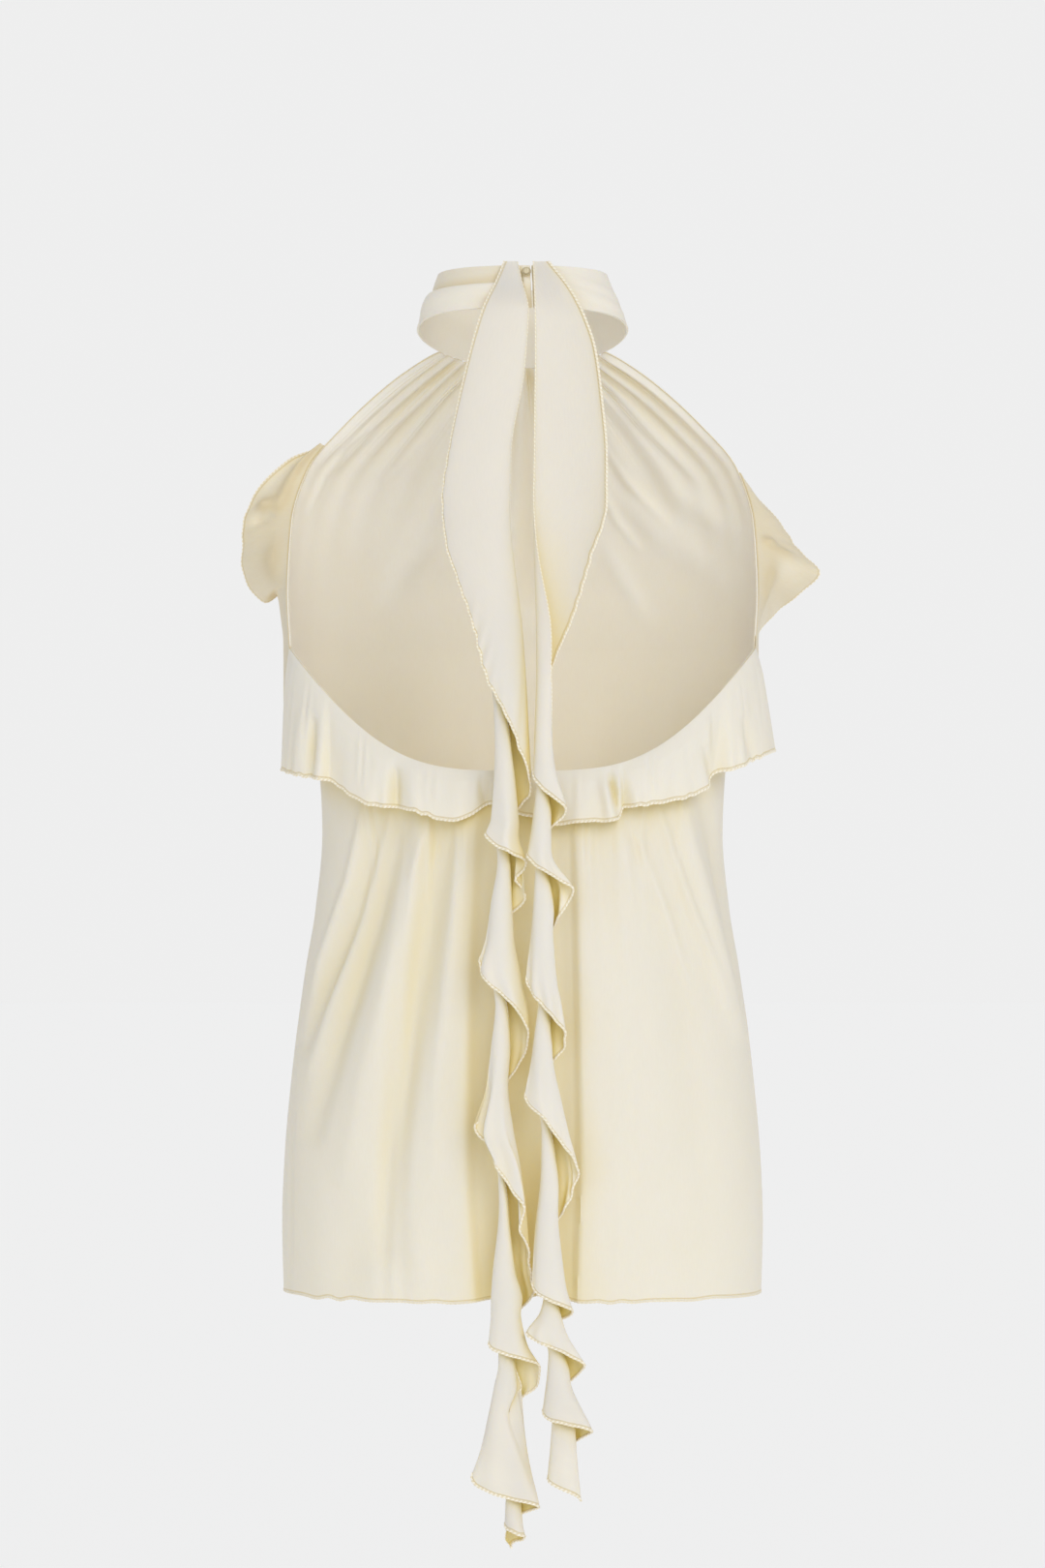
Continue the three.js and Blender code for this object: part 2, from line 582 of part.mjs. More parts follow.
// A place of the back flounce, which hangs straight down outside the back where the body narrows
function hangingPoint(angle, topZ, z) {
  const point = backPoint(angle, z);
  const edge = backPoint(angle, topZ);
  const grown = Math.max(1, Math.hypot(edge.x, edge.y) / Math.hypot(point.x, point.y));
  return new THREE.Vector3(point.x * grown, point.y * grown, z);
}

function backFlounce() {
  const rows = 4;
  const columns = 72;
  const hemZ = curve(BACK_FLOUNCE, "x", "hemZ");
  const out = curve(BACK_FLOUNCE, "x", "out");
  const angleAt = (across) => radians(lerp(-89.8, 89.8, across));
  const clear = CLOTH + SEAM_GAP;
  const plain = makeGrid(rows, columns, (across, along) => {
    const angle = angleAt(across);
    const top = backEdgeHeight(angle);
    const edge = backPoint(angle, top);
    return hangingPoint(angle, top, lerp(top, hemZ(edge.x), along));
  });
  const draped = moved(plain, (i, j) => {
    const x = plain[0][j].x;
    const fall = (i / rows) ** 0.8;
    return clear + fall * out(x);
  });
  return piece("flounce_back", wall(draped, CLOTH), OUTSIDE_CREAM, 0.6);
}

// The armhole edge of the front panel at a height, on the side of sign, moved out by clear
function armholeEdge(z, sign, clear) {
  let low = 0;
  let high = YOKE_ROWS;
  for (let step = 0; step < 30; step += 1) {
    const middle = (low + high) / 2;
    if (frontPoint(1, middle).z > z) {
      low = middle;
    } else {
      high = middle;
    }
  }
  const row = (low + high) / 2;
  const edge = frontPoint(sign, row);
  const inward = frontPoint(sign * 0.96, row).sub(edge);
  const down = frontPoint(sign, Math.min(row + 0.1, YOKE_ROWS)).sub(
    frontPoint(sign, Math.min(row + 0.1, YOKE_ROWS) - 0.1),
  );
  const out = inward.cross(down).multiplyScalar(sign).normalize();
  return edge.addScaledVector(out, clear);
}

function armholeFlounce(name, table, topZ, sign) {
  const rows = 5;
  const columns = 26;
  const hem = {
    x: curve(table, "t", "x"),
    y: curve(table, "t", "y"),
    z: curve(table, "t", "z"),
  };
  const clear = CLOTH + 2 * SEAM_GAP;
  const grid = makeGrid(rows, columns, (across, along) => {
    const t = sign > 0 ? across : 1 - across;
    const edge = armholeEdge(lerp(topZ, UNDERARM, t), sign, clear);
    edge.y = Math.min(edge.y, -SIDE_SEAM_CLEAR);
    const low = new THREE.Vector3(hem.x(t), hem.y(t), hem.z(t));
    const point = edge.clone().lerp(low, along);
    const bulge = FLOUNCE_BULGE * Math.sin(Math.PI * along) * Math.sin(Math.PI * t);
    const ripple = FLOUNCE_RIPPLE * along * Math.sin(Math.PI * t) * Math.cos(8 * Math.PI * t);
    point.x += sign * (bulge + ripple);
    return point;
  });
  return piece(name, wall(grid, CLOTH), OUTSIDE_CREAM, 0.6);
}

// Tie rulings: each runs from the hem to the inner edge, which is tucked above the hem a turn before
function tieRulings(table) {
  const rows = [...table.leaf];
  for (const flute of table.flutes) {
    const before = rows.map(({ deg, z }) => ({ deg, z })).filter((row) => row.z < -100);
    const innerZ = curve(before, "deg", "z")(flute.deg - 360) + FLUTE_OVERLAP;
    rows.push({ ...flute, innerDeg: flute.deg, innerZ, innerRoll: FLUTE_INNER_ROLL });
  }
  const numbered = rows.map((row, step) => ({ ...row, step }));
  const columns = ["deg", "z", "innerDeg", "innerZ", "innerRoll"];
  const at = Object.fromEntries(columns.map((name) => [name, curve(numbered, "step", name)]));
  const rulings = [];
  for (let step = 0; step < rows.length - 1; step += 1) {
    const turned = Math.abs(rows[step + 1].deg - rows[step].deg) / TIE_STEP_DEG;
    const fallen = Math.abs(rows[step + 1].z - rows[step].z) / TIE_STEP_HEIGHT;
    const parts = Math.ceil(Math.max(turned, fallen));
    for (let part = 0; part < parts; part += 1) {
      rulings.push(step + part / parts);
    }
  }
  rulings.push(rows.length - 1);
  return rulings.map((step) =>
    Object.fromEntries(columns.map((name) => [name, at[name](step)])),
  );
}

function tie(name, table) {
  const columns = ["left", "right", "axisX", "middleY", "halfDepth"];
  const at = Object.fromEntries(
    columns.map((column) => [column, curve(table.outline, "z", column)]),
  );
  const grid = tieRulings(table).map((ruling) =>
    Array.from({ length: TIE_COLUMNS + 1 }, (_, j) => {
      const inward = j / TIE_COLUMNS;
      const z = lerp(ruling.z, ruling.innerZ, inward);
      const angle = radians(lerp(ruling.deg, ruling.innerDeg, inward));
      const roll = lerp(1, ruling.innerRoll, inward);
      const middleX = (at.left(z) + at.right(z)) / 2;
      const halfWidth = (at.left(z) - at.right(z)) / 2;
      return new THREE.Vector3(
        lerp(at.axisX(z), middleX + halfWidth * Math.cos(angle), roll),
        at.middleY(z) + at.halfDepth(z) * roll * Math.sin(angle),
        z,
      );
    }),
  );
  return piece(name, wall(grid, TIE_CLOTH), TIE_CREAM, 0.6);
}

// The outer face of the band at the button, and the way out of it
function buttonSeat() {
  const rise = (BUTTON_Z - BAND_BACK_BOTTOM) / (BAND_BACK_TOP - BAND_BACK_BOTTOM);
  const halfWidth = lerp(BAND_BOTTOM_HALF_WIDTH, BAND_TOP_HALF_WIDTH, rise);
  const turn = Math.asin(BUTTON_X / halfWidth);
  const point = bandPoint(turn, rise);
  const up = bandPoint(turn, 1).sub(bandPoint(turn, 0));
  const along = new THREE.Vector3(1, 0, 0);
  const out = up.cross(along).normalize();
  return { point, out };
}

function button() {
  const { point, out } = buttonSeat();
  const half = BUTTON_HEIGHT / 2;
  const profile = [new THREE.Vector2(0, -half)];
  for (let step = 1; step < 8; step += 1) {
    const angle = -Math.PI / 2 + (Math.PI * step) / 8;
    profile.push(new THREE.Vector2(BUTTON_RADIUS * Math.cos(angle), half * Math.sin(angle)));
  }
  profile.push(new THREE.Vector2(0, half));
  const mesh = piece("neck_button", new THREE.LatheGeometry(profile, 12), BUTTON_CREAM, 0.5);
  mesh.quaternion.setFromUnitVectors(new THREE.Vector3(0, 1, 0), out);
  mesh.position.copy(point).addScaledVector(out, BAND_CLOTH / 2 + SEAM_GAP + half + BUTTON_STAND_OFF);
  return mesh;
}

function threadLoop() {
  const { point, out } = buttonSeat();
  const geometry = new THREE.TorusGeometry(LOOP_RADIUS, LOOP_THREAD_RADIUS, 6, 18);
  const mesh = piece("button_loop", geometry, BUTTON_CREAM, 0.7);
  mesh.quaternion.setFromUnitVectors(new THREE.Vector3(0, 0, 1), out);
  const lift = BAND_CLOTH / 2 + SEAM_GAP + LOOP_THREAD_RADIUS + BUTTON_STAND_OFF;
  mesh.position.copy(point).addScaledVector(out, lift);
  return mesh;
}

const top = new THREE.Group();
top.name = "halter_neck_top";
top.add(neckBand());
top.add(frontPanel());
top.add(backPanel());
top.add(backFlounce());
top.add(armholeFlounce("flounce_left", LEFT_FLOUNCE, LEFT_FLOUNCE_TOP, 1));
top.add(armholeFlounce("flounce_right", RIGHT_FLOUNCE, RIGHT_FLOUNCE_TOP, -1));
top.add(tie("tie_left", LEFT_TIE));
top.add(tie("tie_right", RIGHT_TIE));
top.add(button());
top.add(threadLoop());

export default top;
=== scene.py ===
"""Looks of a halter neck top: fine cloth shells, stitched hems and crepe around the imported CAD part."""
import math

import bpy
import numpy as np
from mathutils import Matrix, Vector


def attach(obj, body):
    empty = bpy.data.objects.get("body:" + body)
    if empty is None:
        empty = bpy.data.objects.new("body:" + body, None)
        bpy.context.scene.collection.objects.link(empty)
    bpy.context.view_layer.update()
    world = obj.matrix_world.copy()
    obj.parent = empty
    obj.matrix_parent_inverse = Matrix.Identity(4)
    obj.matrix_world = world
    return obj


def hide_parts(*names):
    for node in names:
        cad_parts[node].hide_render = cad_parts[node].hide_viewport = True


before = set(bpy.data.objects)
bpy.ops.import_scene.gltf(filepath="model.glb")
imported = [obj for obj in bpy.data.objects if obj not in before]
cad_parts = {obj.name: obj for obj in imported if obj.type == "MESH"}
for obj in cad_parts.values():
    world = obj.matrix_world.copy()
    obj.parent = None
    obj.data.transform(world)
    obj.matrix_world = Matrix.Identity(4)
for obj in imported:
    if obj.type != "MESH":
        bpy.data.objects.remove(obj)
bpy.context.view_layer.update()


def named_rows(columns, *rows):
    """The rows of a table as dicts, with a value for each named column."""
    return [dict(zip(columns.split(), row)) for row in rows]


# Lengths are millimetres until a mesh is made
MM = 0.001
SHELL = 0.6
BAND_SHELL = 1.3
TIE_SHELL = 0.5
CAD_CLOTH = 1.4
CAD_BAND_CLOTH = 1.8
SEAM_GAP = 0.3
NECK_SEAM_DROP = 0.3
SIDE_SEAM_CLEAR = 0.5
NO_HEM = 99
SIDE_TUCK = 1.8
SIDE_TUCK_IN = 0.9
SEAM_LINE = 1.1

# Neck band
BAND_TOP_HALF_WIDTH = 52
BAND_TOP_HALF_DEPTH = 44
BAND_BOTTOM_HALF_WIDTH = 65
BAND_BOTTOM_HALF_DEPTH = 54
BAND_BACK_TOP = 24
BAND_FRONT_TOP = 17
BAND_BACK_BOTTOM = -2.5
BAND_FRONT_BOTTOM = -31
BAND_SLIT_DEG = -5.5
BAND_SLIT_WIDTH_DEG = 0.9
NECK_SEAM_DEG = 52
BAND_ROWS = 36
BAND_COLUMNS = 330
BAND_FOLD_RISE = 0.56
BAND_FOLD_HEIGHT = 2.1
BAND_FOLD_SHARPNESS = 0.022
BAND_UPPER_SHADE = 0.75
BAND_SHADE_HEIGHT = 3
BAND_GATHER_HEIGHT = 0.35
BAND_FRONT_FOLD_HEIGHT = 0.9

# Pleats of the band, which close up from the front towards the ties: rise 0 is its lower edge
BAND_PLEATS = named_rows(
    "side at_back at_side width height",
    (1, 0.36, 0.32, 0.2, 1.6),
    (1, 0.8, 0.78, 0.16, 0.8),
    (-1, 0.62, 0.2, 0.14, 1.4),
    (-1, 0.9, 0.5, 0.14, 1.1),
)

# Body
UNDERARM = -209
BACK_NECK_LOW = -285
HEM = -606
HEM_LIFT_UNDER_TIES = 5
SECTION_POWER = 0.87
BACK_EDGE_POWER = 3.7
BODY = named_rows(
    "z half_width front back",
    (-209, 143.5, 119, 74),
    (-250, 133, 113, 79),
    (-285, 125.5, 106, 82),
    (-323, 123.7, 100, 82),
    (-371, 128, 102, 83),
    (-407, 134, 107, 85),
    (-467, 142, 114, 88),
    (-527, 147.3, 119, 90),
    (-563, 148.6, 121, 91),
    (-606, 147.6, 123, 92),
)
YOKE = named_rows(
    "row edge_z centre_z edge_x edge_y centre_y deg power",
    (0, -20.5, -31, 51.2, -33.2, -54, 52, 1),
    (1, -42, -53, 83.6, -47, -72, 62, 0.97),
    (2, -67, -78, 112, -57, -90, 70, 0.94),
    (3, -96, -106, 135.5, -55, -104, 77, 0.91),
    (4, -130, -139, 144.6, -40, -114, 83, 0.89),
    (5, -170, -174, 146, -18, -119, 87, 0.87),
    (6, -209, -209, 143.5, 0, -119, 90, 0.87),
)
YOKE_ROWS = len(YOKE) - 1
GATHER_COUNT = 15
GATHER_HEIGHT = 1.3
GATHER_REACH = 75
GATHER_CRISPNESS = 1.25
FINE_GATHER_COUNT = 46
FINE_GATHER_HEIGHT = 0.4
FINE_GATHER_REACH = 38
SEAM_GATHER_COUNT = 25
SEAM_GATHER_HEIGHT = 0.6
SEAM_GATHER_START = 16
SEAM_GATHER_REACH = 62
FOLD_END_HEIGHT = 0.4
FRONT_FOLD_RIGHT = 0.65
FRONT_FOLD_LEFT = 0.9
FRONT_CREASE = 1.3
FRONT_WAVE = 0.9
FRONT_UNEVENNESS = 0.25
BACK_FOLD = 1.3
BACK_CREASE = 1.15
BACK_WAVE = 0.3
BACK_UNEVENNESS = 0.22
HEM_WAVE = 0.8
YOKE_LINES = 96
BODY_LINES = 64
FRONT_COLUMN_LINES = 301
BACK_COLUMNS = 280
BACK_ROWS = 150
SIDE_ANGLE_DEG = 89.8

# Folds as soft ridges (height over 0) and troughs, each along its path of (x, z) places
FRONT_FOLDS = named_rows(
    "width height path",
    (7, -3, [(58, -28), (128, -85)]),
    (6, -3, [(27, -28), (52, -84)]),
    (8, -3.5, [(35, -82), (68, -138), (87, -175)]),
    (7, -2, [(48, -126), (77, -163)]),
    (8, -4, [(-52, -31), (-99, -107), (-138, -138)]),
    (8, -3, [(-50, -59), (-74, -113), (-124, -162)]),
    (6, -2, [(-54, -101), (-99, -150)]),
    (6, -2, [(-51, -138), (-80, -188)]),
    (7, 5, [(-3, -34), (-3, -175)]),
    (15, 4, [(-14, -300), (-30, -450), (-42, -606)]),
    (14, 4, [(44, -300), (66, -430), (82, -606)]),
    (13, 4, [(-86, -310), (-104, -440), (-112, -606)]),
    (11, -4, [(14, -330), (16, -606)]),
    (10, -3, [(104, -330), (122, -520)]),
)
FRONT_CREASES = named_rows(
    "width height path",
    (2.4, -1.3, [(87, -58), (112, -78), (126, -98), (136, -122)]),
    (3.2, -1.1, [(44, -36), (92, -70), (118, -92)]),
    (3, -1, [(38, -40), (62, -74), (84, -98)]),
    (3.4, -1.1, [(30, -50), (44, -92), (60, -118)]),
    (3.2, -1.1, [(-40, -36), (-78, -66), (-112, -100)]),
    (3, -1.2, [(-46, -70), (-66, -98), (-92, -126)]),
    (2.8, -1, [(-44, -92), (-60, -124), (-74, -142)]),
    (3.2, 1.2, [(-10, -34), (-14, -110)]),
    (3.2, 1.4, [(5, -34), (8, -120)]),
    (9, -2, [(-70, -330), (-76, -520)]),
    (8, -1.8, [(30, -320), (44, -500)]),
)
BACK_FOLDS = named_rows(
    "width height path",
    (6, -5, [(82, -300), (104, -375), (124, -423), (134, -452)]),
    (8, -6, [(70, -300), (89, -372), (113, -446), (128, -505)]),
    (10, -5.5, [(44, -300), (57, -381), (68, -450), (80, -520), (84, -575)]),
    (8, 2.5, [(54, -300), (72, -381), (94, -460), (108, -530)]),
    (6, 2.5, [(33, -300), (41, -381), (46, -440)]),
    (9, -3, [(22, -300), (23, -450), (20, -606)]),
    (9, -3, [(-22, -300), (-24, -450), (-22, -606)]),
    (7, -2, [(-44, -300), (-52, -405)]),
    (6, 4.2, [(-94, -300), (-118, -393), (-133, -445)]),
    (6, -4, [(-110, -300), (-128, -370), (-136, -420)]),
    (13, -2, [(-72, -300), (-96, -430), (-104, -540)]),
)
# Pleats beside the ties: a sharp edge, and a slow fall away from it
BACK_PLEATS = [
    dict(
        side=-1, height=4.2, sharpness=0.9, reach=24,
        line=named_rows("z x", (-606, -31.5), (-520, -34), (-420, -33), (-300, -30)),
    ),
    dict(
        side=1, height=3.6, sharpness=2.2, reach=22,
        line=named_rows("z x", (-606, 27), (-520, 32), (-420, 31), (-300, 26)),
    ),
]
BACK_CREASES = named_rows(
    "width height path",
    (2.8, 2.4, [(94, -298), (106, -352), (124, -402), (136, -448)]),
    (3, 1.4, [(79, -302), (99, -372), (121, -432), (131, -470)]),
    (3, 1.4, [(54, -304), (66, -350)]),
    (4.2, 1, [(36, -306), (46, -392), (52, -470), (54, -530)]),
    (3, -1.2, [(48, -306), (54, -340)]),
    (3.6, 1.2, [(-56, -306), (-66, -366)]),
    (3, -1.2, [(-62, -304), (-70, -340)]),
    (2.6, 2.4, [(-80, -300), (-101, -366), (-124, -430)]),
    (3, 1.6, [(-62, -306), (-88, -372), (-101, -412)]),
    (11, -1.6, [(100, -560), (104, -598)]),
    (11, -1.2, [(-95, -560), (-97, -598)]),
    (8, 1.2, [(64, -560), (60, -604)]),
    (8, 1, [(-60, -552), (-56, -604)]),
    (1.6, -0.8, [(140, -440), (142, -520), (142.5, -604)]),
)

# Back flounce: a row for each crest or trough of its hem
BACK_FLOUNCE = named_rows(
    "x hem_z out",
    (150, -276, 3),
    (142, -284.5, 5),
    (130, -288, 8),
    (120, -290.5, 10),
    (116, -291.5, 4),
    (101, -300.5, 8),
    (88, -306, 10),
    (73, -307, 5),
    (60, -310.5, 9),
    (41, -315.5, 9.5),
    (31, -311.5, 6),
    (19, -305, 3),
    (9, -308, 8),
    (-6, -313, 9),
    (-22, -317, 5),
    (-34, -315.5, 9),
    (-46, -315.5, 7),
    (-56.5, -314, 10),
    (-60.5, -307, 3),
    (-69, -306, 9),
    (-82, -304.5, 9),
    (-99, -300.5, 8),
    (-111, -295, 7.5),
    (-116.5, -287, 3),
    (-126, -283, 10),
    (-138, -277, 8),
    (-150, -266, 17),
)

FLOUNCE_FOLDS = named_rows(
    "width height path",
    (2.6, -4, [(124, -255), (123, -293)]),
    (4, 2, [(131, -252), (130, -290)]),
    (3, -3, [(76, -282), (73, -315)]),
    (5, 2, [(66, -284), (63, -316)]),
    (3, -3, [(24, -284), (22, -312)]),
    (2.2, -4.5, [(-52, -283), (-57, -319)]),
    (3, 2.5, [(-47, -283), (-51, -318)]),
    (3.4, 2, [(-62, -283), (-66, -316)]),
    (2.6, -3.5, [(-109, -272), (-112, -296)]),
    (3, -2.5, [(-131, -255), (-134, -283)]),
)

# Armhole flounces: hem places down each armhole, from its upper point to the side seam
LEFT_FLOUNCE = named_rows(
    "t x y z",
    (0, 129, -61, -81),
    (0.08, 147, -64, -87),
    (0.17, 161, -66, -98),
    (0.27, 171, -67, -114),
    (0.36, 178, -65, -133),
    (0.45, 177, -64, -147),
    (0.54, 176, -63, -159),
    (0.61, 172, -64, -171),
    (0.665, 163, -67, -178),
    (0.715, 154, -72, -173),
    (0.77, 150.5, -72, -188),
    (0.83, 149, -64, -212),
    (0.91, 149, -38, -246),
    (1, 147.5, -0.5, -274),
)
RIGHT_FLOUNCE = named_rows(
    "t x y z",
    (0, -137, -57, -99),
    (0.2, -155, -62, -120),
    (0.38, -176, -65, -146),
    (0.47, -187, -63, -159),
    (0.55, -177, -65, -171),
    (0.63, -163, -67, -183),
    (0.72, -152, -62, -196),
    (0.82, -148, -44, -218),
    (0.91, -150, -24, -244),
    (1, -158, -0.5, -270),
)
FLOUNCE_BULGE = 4
FLOUNCE_RIPPLE = 1.2
FLOUNCE_BASE_CLEAR = 0.25
FLOUNCE_ROWS = 40
FLOUNCE_COLUMNS = 460
ARMHOLE_ROWS = 44
ARMHOLE_COLUMNS = 190
RIGHT_HEM_TUCK = 6
LEFT_FLOUNCE_TOP = -80
RIGHT_FLOUNCE_TOP = -97

# Dents of the armhole flounces, at t down the armhole and out 0 to 1 across the flounce
LEFT_DENTS = named_rows(
    "t out t_width out_width height",
    (0.12, 0.2, 0.14, 0.16, -4),
    (0.14, 0.72, 0.12, 0.3, 3),
    (0.285, 0.5, 0.025, 0.2, -4.5),
    (0.335, 0.55, 0.028, 0.22, 3.5),
    (0.27, 0.15, 0.05, 0.15, -3),
    (0.55, 0.2, 0.1, 0.2, -2.5),
)
RIGHT_DENTS = named_rows(
    "t out t_width out_width height",
    (0.39, 0.14, 0.03, 0.14, -3.5),
    (0.43, 0.36, 0.03, 0.16, -2),
    (0.6, 0.14, 0.14, 0.14, -3.5),
    (0.5, 0.4, 0.05, 0.3, 1.2),
)

# Ties. outline: extents at each height, and where the roll's axis lies. leaf: the flat upper
# stretch, where the hem and the inner edge are each placed by angle and height. flutes: the hem
# further down, turning from the wearer's left (0) by the camera side (90) to the right (180).
LEFT_OUTLINE = named_rows(
    "z left right axis_x middle_y half_depth",
    (26.5, 11, 3, 6, 44.8, 1),
    (14, 16, 0, 8, 49.8, 1.5),
    (-4, 24.2, -4.2, 9, 58.5, 2),
    (-40, 34.1, -2, 14, 63, 3),
    (-94, 45.1, 6, 22, 71, 5),
    (-120, 48.5, 6, 22, 74, 6),
    (-147, 46.5, 4, 20, 79, 7),
    (-170, 40.2, 1, 18, 83, 7),
    (-200, 31.8, -2.5, 15, 90, 7),
    (-229, 27.8, -4, 13, 97, 7),
    (-247, 22, -4.5, 12, 101, 7),
    (-285, 17.8, -5, 11, 107, 7),
    (-316, 16.5, -2, 12, 107, 7),
    (-326, 19.7, 0, 12.5, 107, 7),
    (-340, 17, -2, 12.5, 107, 7),
    (-364, 20.6, -0.5, 13, 107, 7),
    (-385, 21.8, 1, 13, 107, 7),
    (-403, 25.5, -1.5, 13, 107, 7),
    (-427, 17.5, -4.6, 14, 107, 7),
    (-449, 20.5, -3, 13.5, 107, 7),
    (-475, 22, 4, 13.5, 107, 7),
    (-501, 26.7, 0, 14, 107, 7),
    (-522, 16.5, -3, 13, 107, 7),
    (-546, 14.5, -4.5, 12.5, 107, 7),
    (-584, 18.8, -4.5, 12.5, 107, 7),
    (-599, 19.3, -7.5, 12, 107, 7),
    (-612, 18.6, -3, 11, 107, 7),
    (-629, 19.2, -5, 11, 107, 7),
    (-643, 16, -10.5, 13, 107, 7),
    (-653, 19.5, -10, 13.5, 107, 7),
    (-671, 23.2, 4, 14, 107, 7),
    (-695, 26.5, -2.6, 11, 107, 7),
    (-710, 29.3, -6, 9, 107, 7),
    (-728, 17, -8.8, 6, 107, 6),
    (-737, 10.5, -0.6, 5, 107, 5),
    (-745, 11.2, -1.8, 4.5, 107, 5),
    (-752, 7, 0.5, 4, 107, 3.5),
)
LEFT_LEAF = named_rows(
    "deg z inner_deg inner_z inner_roll",
    (0, 26.5, 172, 26.5, 0.95),
    (0, -60, 172, -50, 0.95),
    (2, -120, 174, -92, 0.93),
    (20, -170, 177, -116, 0.9),
    (52, -229, 182, -136, 0.85),
    (117, -269, 192, -152, 0.8),
    (180, -296, 212, -168, 0.7),
    (270, -311, 278, -192, 0.5),
    (360, -326, 360, -220, 0.35),
    (450, -334, 450, -246, 0.3),
)
LEFT_FLUTES = named_rows(
    "deg z",
    (535, -341),
    (560, -353),
    (580, -366),
    (625, -378),
    (720, -403),
    (900, -447),
    (930, -460),
    (970, -473),
    (1080, -501),
    (1255, -583),
    (1280, -598),
    (1325, -610),
    (1440, -629),
    (1615, -643),
    (1640, -653),
    (1695, -671),
    (1800, -710),
    (1980, -728),
    (2160, -738),
    (2340, -745),
    (2520, -751.5),
)
LEFT_TIE = dict(
    end_deg=1960,
    end_z=-737,
    outline=LEFT_OUTLINE,
    leaf=LEFT_LEAF,
    flutes=LEFT_FLUTES,
)
RIGHT_OUTLINE = named_rows(
    "z left right axis_x middle_y half_depth",
    (26.5, -6.4, -16, -10, 45.1, 1),
    (8, -6.8, -29.5, -16, 55, 1.5),
    (-10, -7, -38.3, -20, 61, 2),
    (-28, -7, -44.1, -22, 63, 3),
    (-58, -6.5, -48.1, -24, 67, 4),
    (-94, -6, -51, -24, 72, 5),
    (-123, -5.3, -50.9, -22, 76, 6),
    (-153, -5.5, -44, -18, 82, 7),
    (-194, -7, -37, -16, 94, 7),
    (-229, -8, -26, -14, 103, 7),
    (-284, -6.6, -24, -12, 112, 7),
    (-306, -5.2, -26.4, -11, 113, 7),
    (-320, -4.2, -21.5, -11, 113, 7),
    (-335, -3.4, -19, -11, 113, 7),
    (-357, -4, -28, -11, 114, 7),
    (-369, -3.6, -26.8, -12, 114, 7),
    (-382, -3.6, -23, -12, 114, 7),
    (-412, -3.4, -24, -11, 114, 7),
    (-425, -6.4, -25.2, -13, 114, 7),
    (-446, -5, -26, -12, 114, 7),
    (-458, -4.4, -25, -12, 114, 7),
    (-481, -2.8, -28, -13, 114, 7),
    (-501, -9, -29.5, -14, 114, 7),
    (-526, -8.8, -32, -14.5, 114, 7),
    (-556, -6.4, -26, -14.5, 114, 7),
    (-594, -7, -26.8, -16, 114, 7),
    (-602, -9.5, -28.2, -17, 114, 7),
    (-609, -9, -29.6, -17, 114, 7),
    (-622, -4, -31, -18, 114, 7),
    (-633, -12, -33.8, -20, 114, 7),
    (-642, -12.4, -36, -21, 114, 7),
    (-652, -12.4, -33.6, -22, 114, 7),
    (-668, -12.2, -37.5, -23, 114, 7),
    (-681, -16, -39.8, -24, 114, 7),
    (-690, -16, -34, -24, 114, 6.5),
    (-709, -15.2, -34.4, -24, 114, 6),
    (-716, -17.5, -34.6, -25, 114, 5),
    (-722, -22, -34.8, -26, 114, 4),
)
RIGHT_LEAF = named_rows(
    "deg z inner_deg inner_z inner_roll",
    (180, 26.5, 352, 26.5, 0.95),
    (180, -60, 352, -55, 0.95),
    (182, -123, 355, -108, 0.93),
    (205, -153, 372, -134, 0.9),
    (240, -194, 400, -165, 0.85),
    (275, -229, 425, -190, 0.8),
    (315, -260, 446, -214, 0.75),
    (360, -284, 464, -234, 0.68),
    (450, -299, 492, -255, 0.5),
    (540, -313, 545, -272, 0.38),
    (630, -324, 630, -280, 0.32),
)
RIGHT_FLUTES = named_rows(
    "deg z",
    (720, -335),
    (895, -357),
    (925, -370),
    (970, -382),
    (1080, -412),
    (1260, -446),
    (1440, -481),
    (1615, -526),
    (1645, -544),
    (1690, -557),
    (1800, -594),
    (1980, -609),
    (2160, -623),
    (2340, -642),
    (2520, -670),
    (2700, -681),
    (2880, -708),
    (3060, -722),
)
RIGHT_TIE = dict(
    end_deg=2790,
    end_z=-690,
    outline=RIGHT_OUTLINE,
    leaf=RIGHT_LEAF,
    flutes=RIGHT_FLUTES,
)
FLUTE_OVERLAP = 8
CURL_DEPTH = 0.3
TIE_END_SHADE = 0.45
FLUTE_INNER_ROLL = 0.3
TIE_STEP_DEG = 7
TIE_STEP_HEIGHT = 2.2
TIE_COLUMNS = 26

# Curls of the ties' hems: how far the hem is moved where it is at height z
LEFT_CURLS = named_rows(
    "z dx dy dz width",
    (-272, 1.5, 0, 0, 5),
    (-324, 2.5, 3, 2, 4),
    (-332, -1.5, 3, 0, 4),
    (-350, 6, 4, 0, 4),
    (-362, -2.5, 5, 0, 5),
    (-371, 2.5, 2, 0, 4),
    (-398, 2, 2, 0, 4),
    (-497, 2, 4, 0, 4),
    (-510, -3, 2, 0, 5),
    (-523, 3, 3, 0, 6),
    (-546, -4, 2, 0, 6),
    (-560, 3, 3, 0, 5),
    (-627, 1.5, 2, 0, 3),
    (-706, 2, 2, 0, 4),
    (-726, -1.5, 3, 1, 3),
)
RIGHT_CURLS = named_rows(
    "z dx dy dz width",
    (-306, -2, 3, 0, 4),
    (-318, 2, 3, 0, 5),
    (-356, -2, 3, 0, 5),
    (-372, 2.5, 3, 0, 5),
    (-408, 1, 2, 0, 4),
    (-478, 1.5, 2, 0, 4),
    (-492, -2, 2, 0, 5),
    (-523, -2, 3, 0, 5),
    (-591, 1.5, 2, 0, 3),
    (-620, 1.5, 2, 0, 4),
    (-640, -1.5, 2, 0, 3),
    (-666, 1.5, 2, 0, 4),
    (-679, -1.5, 2, 0, 3),
)

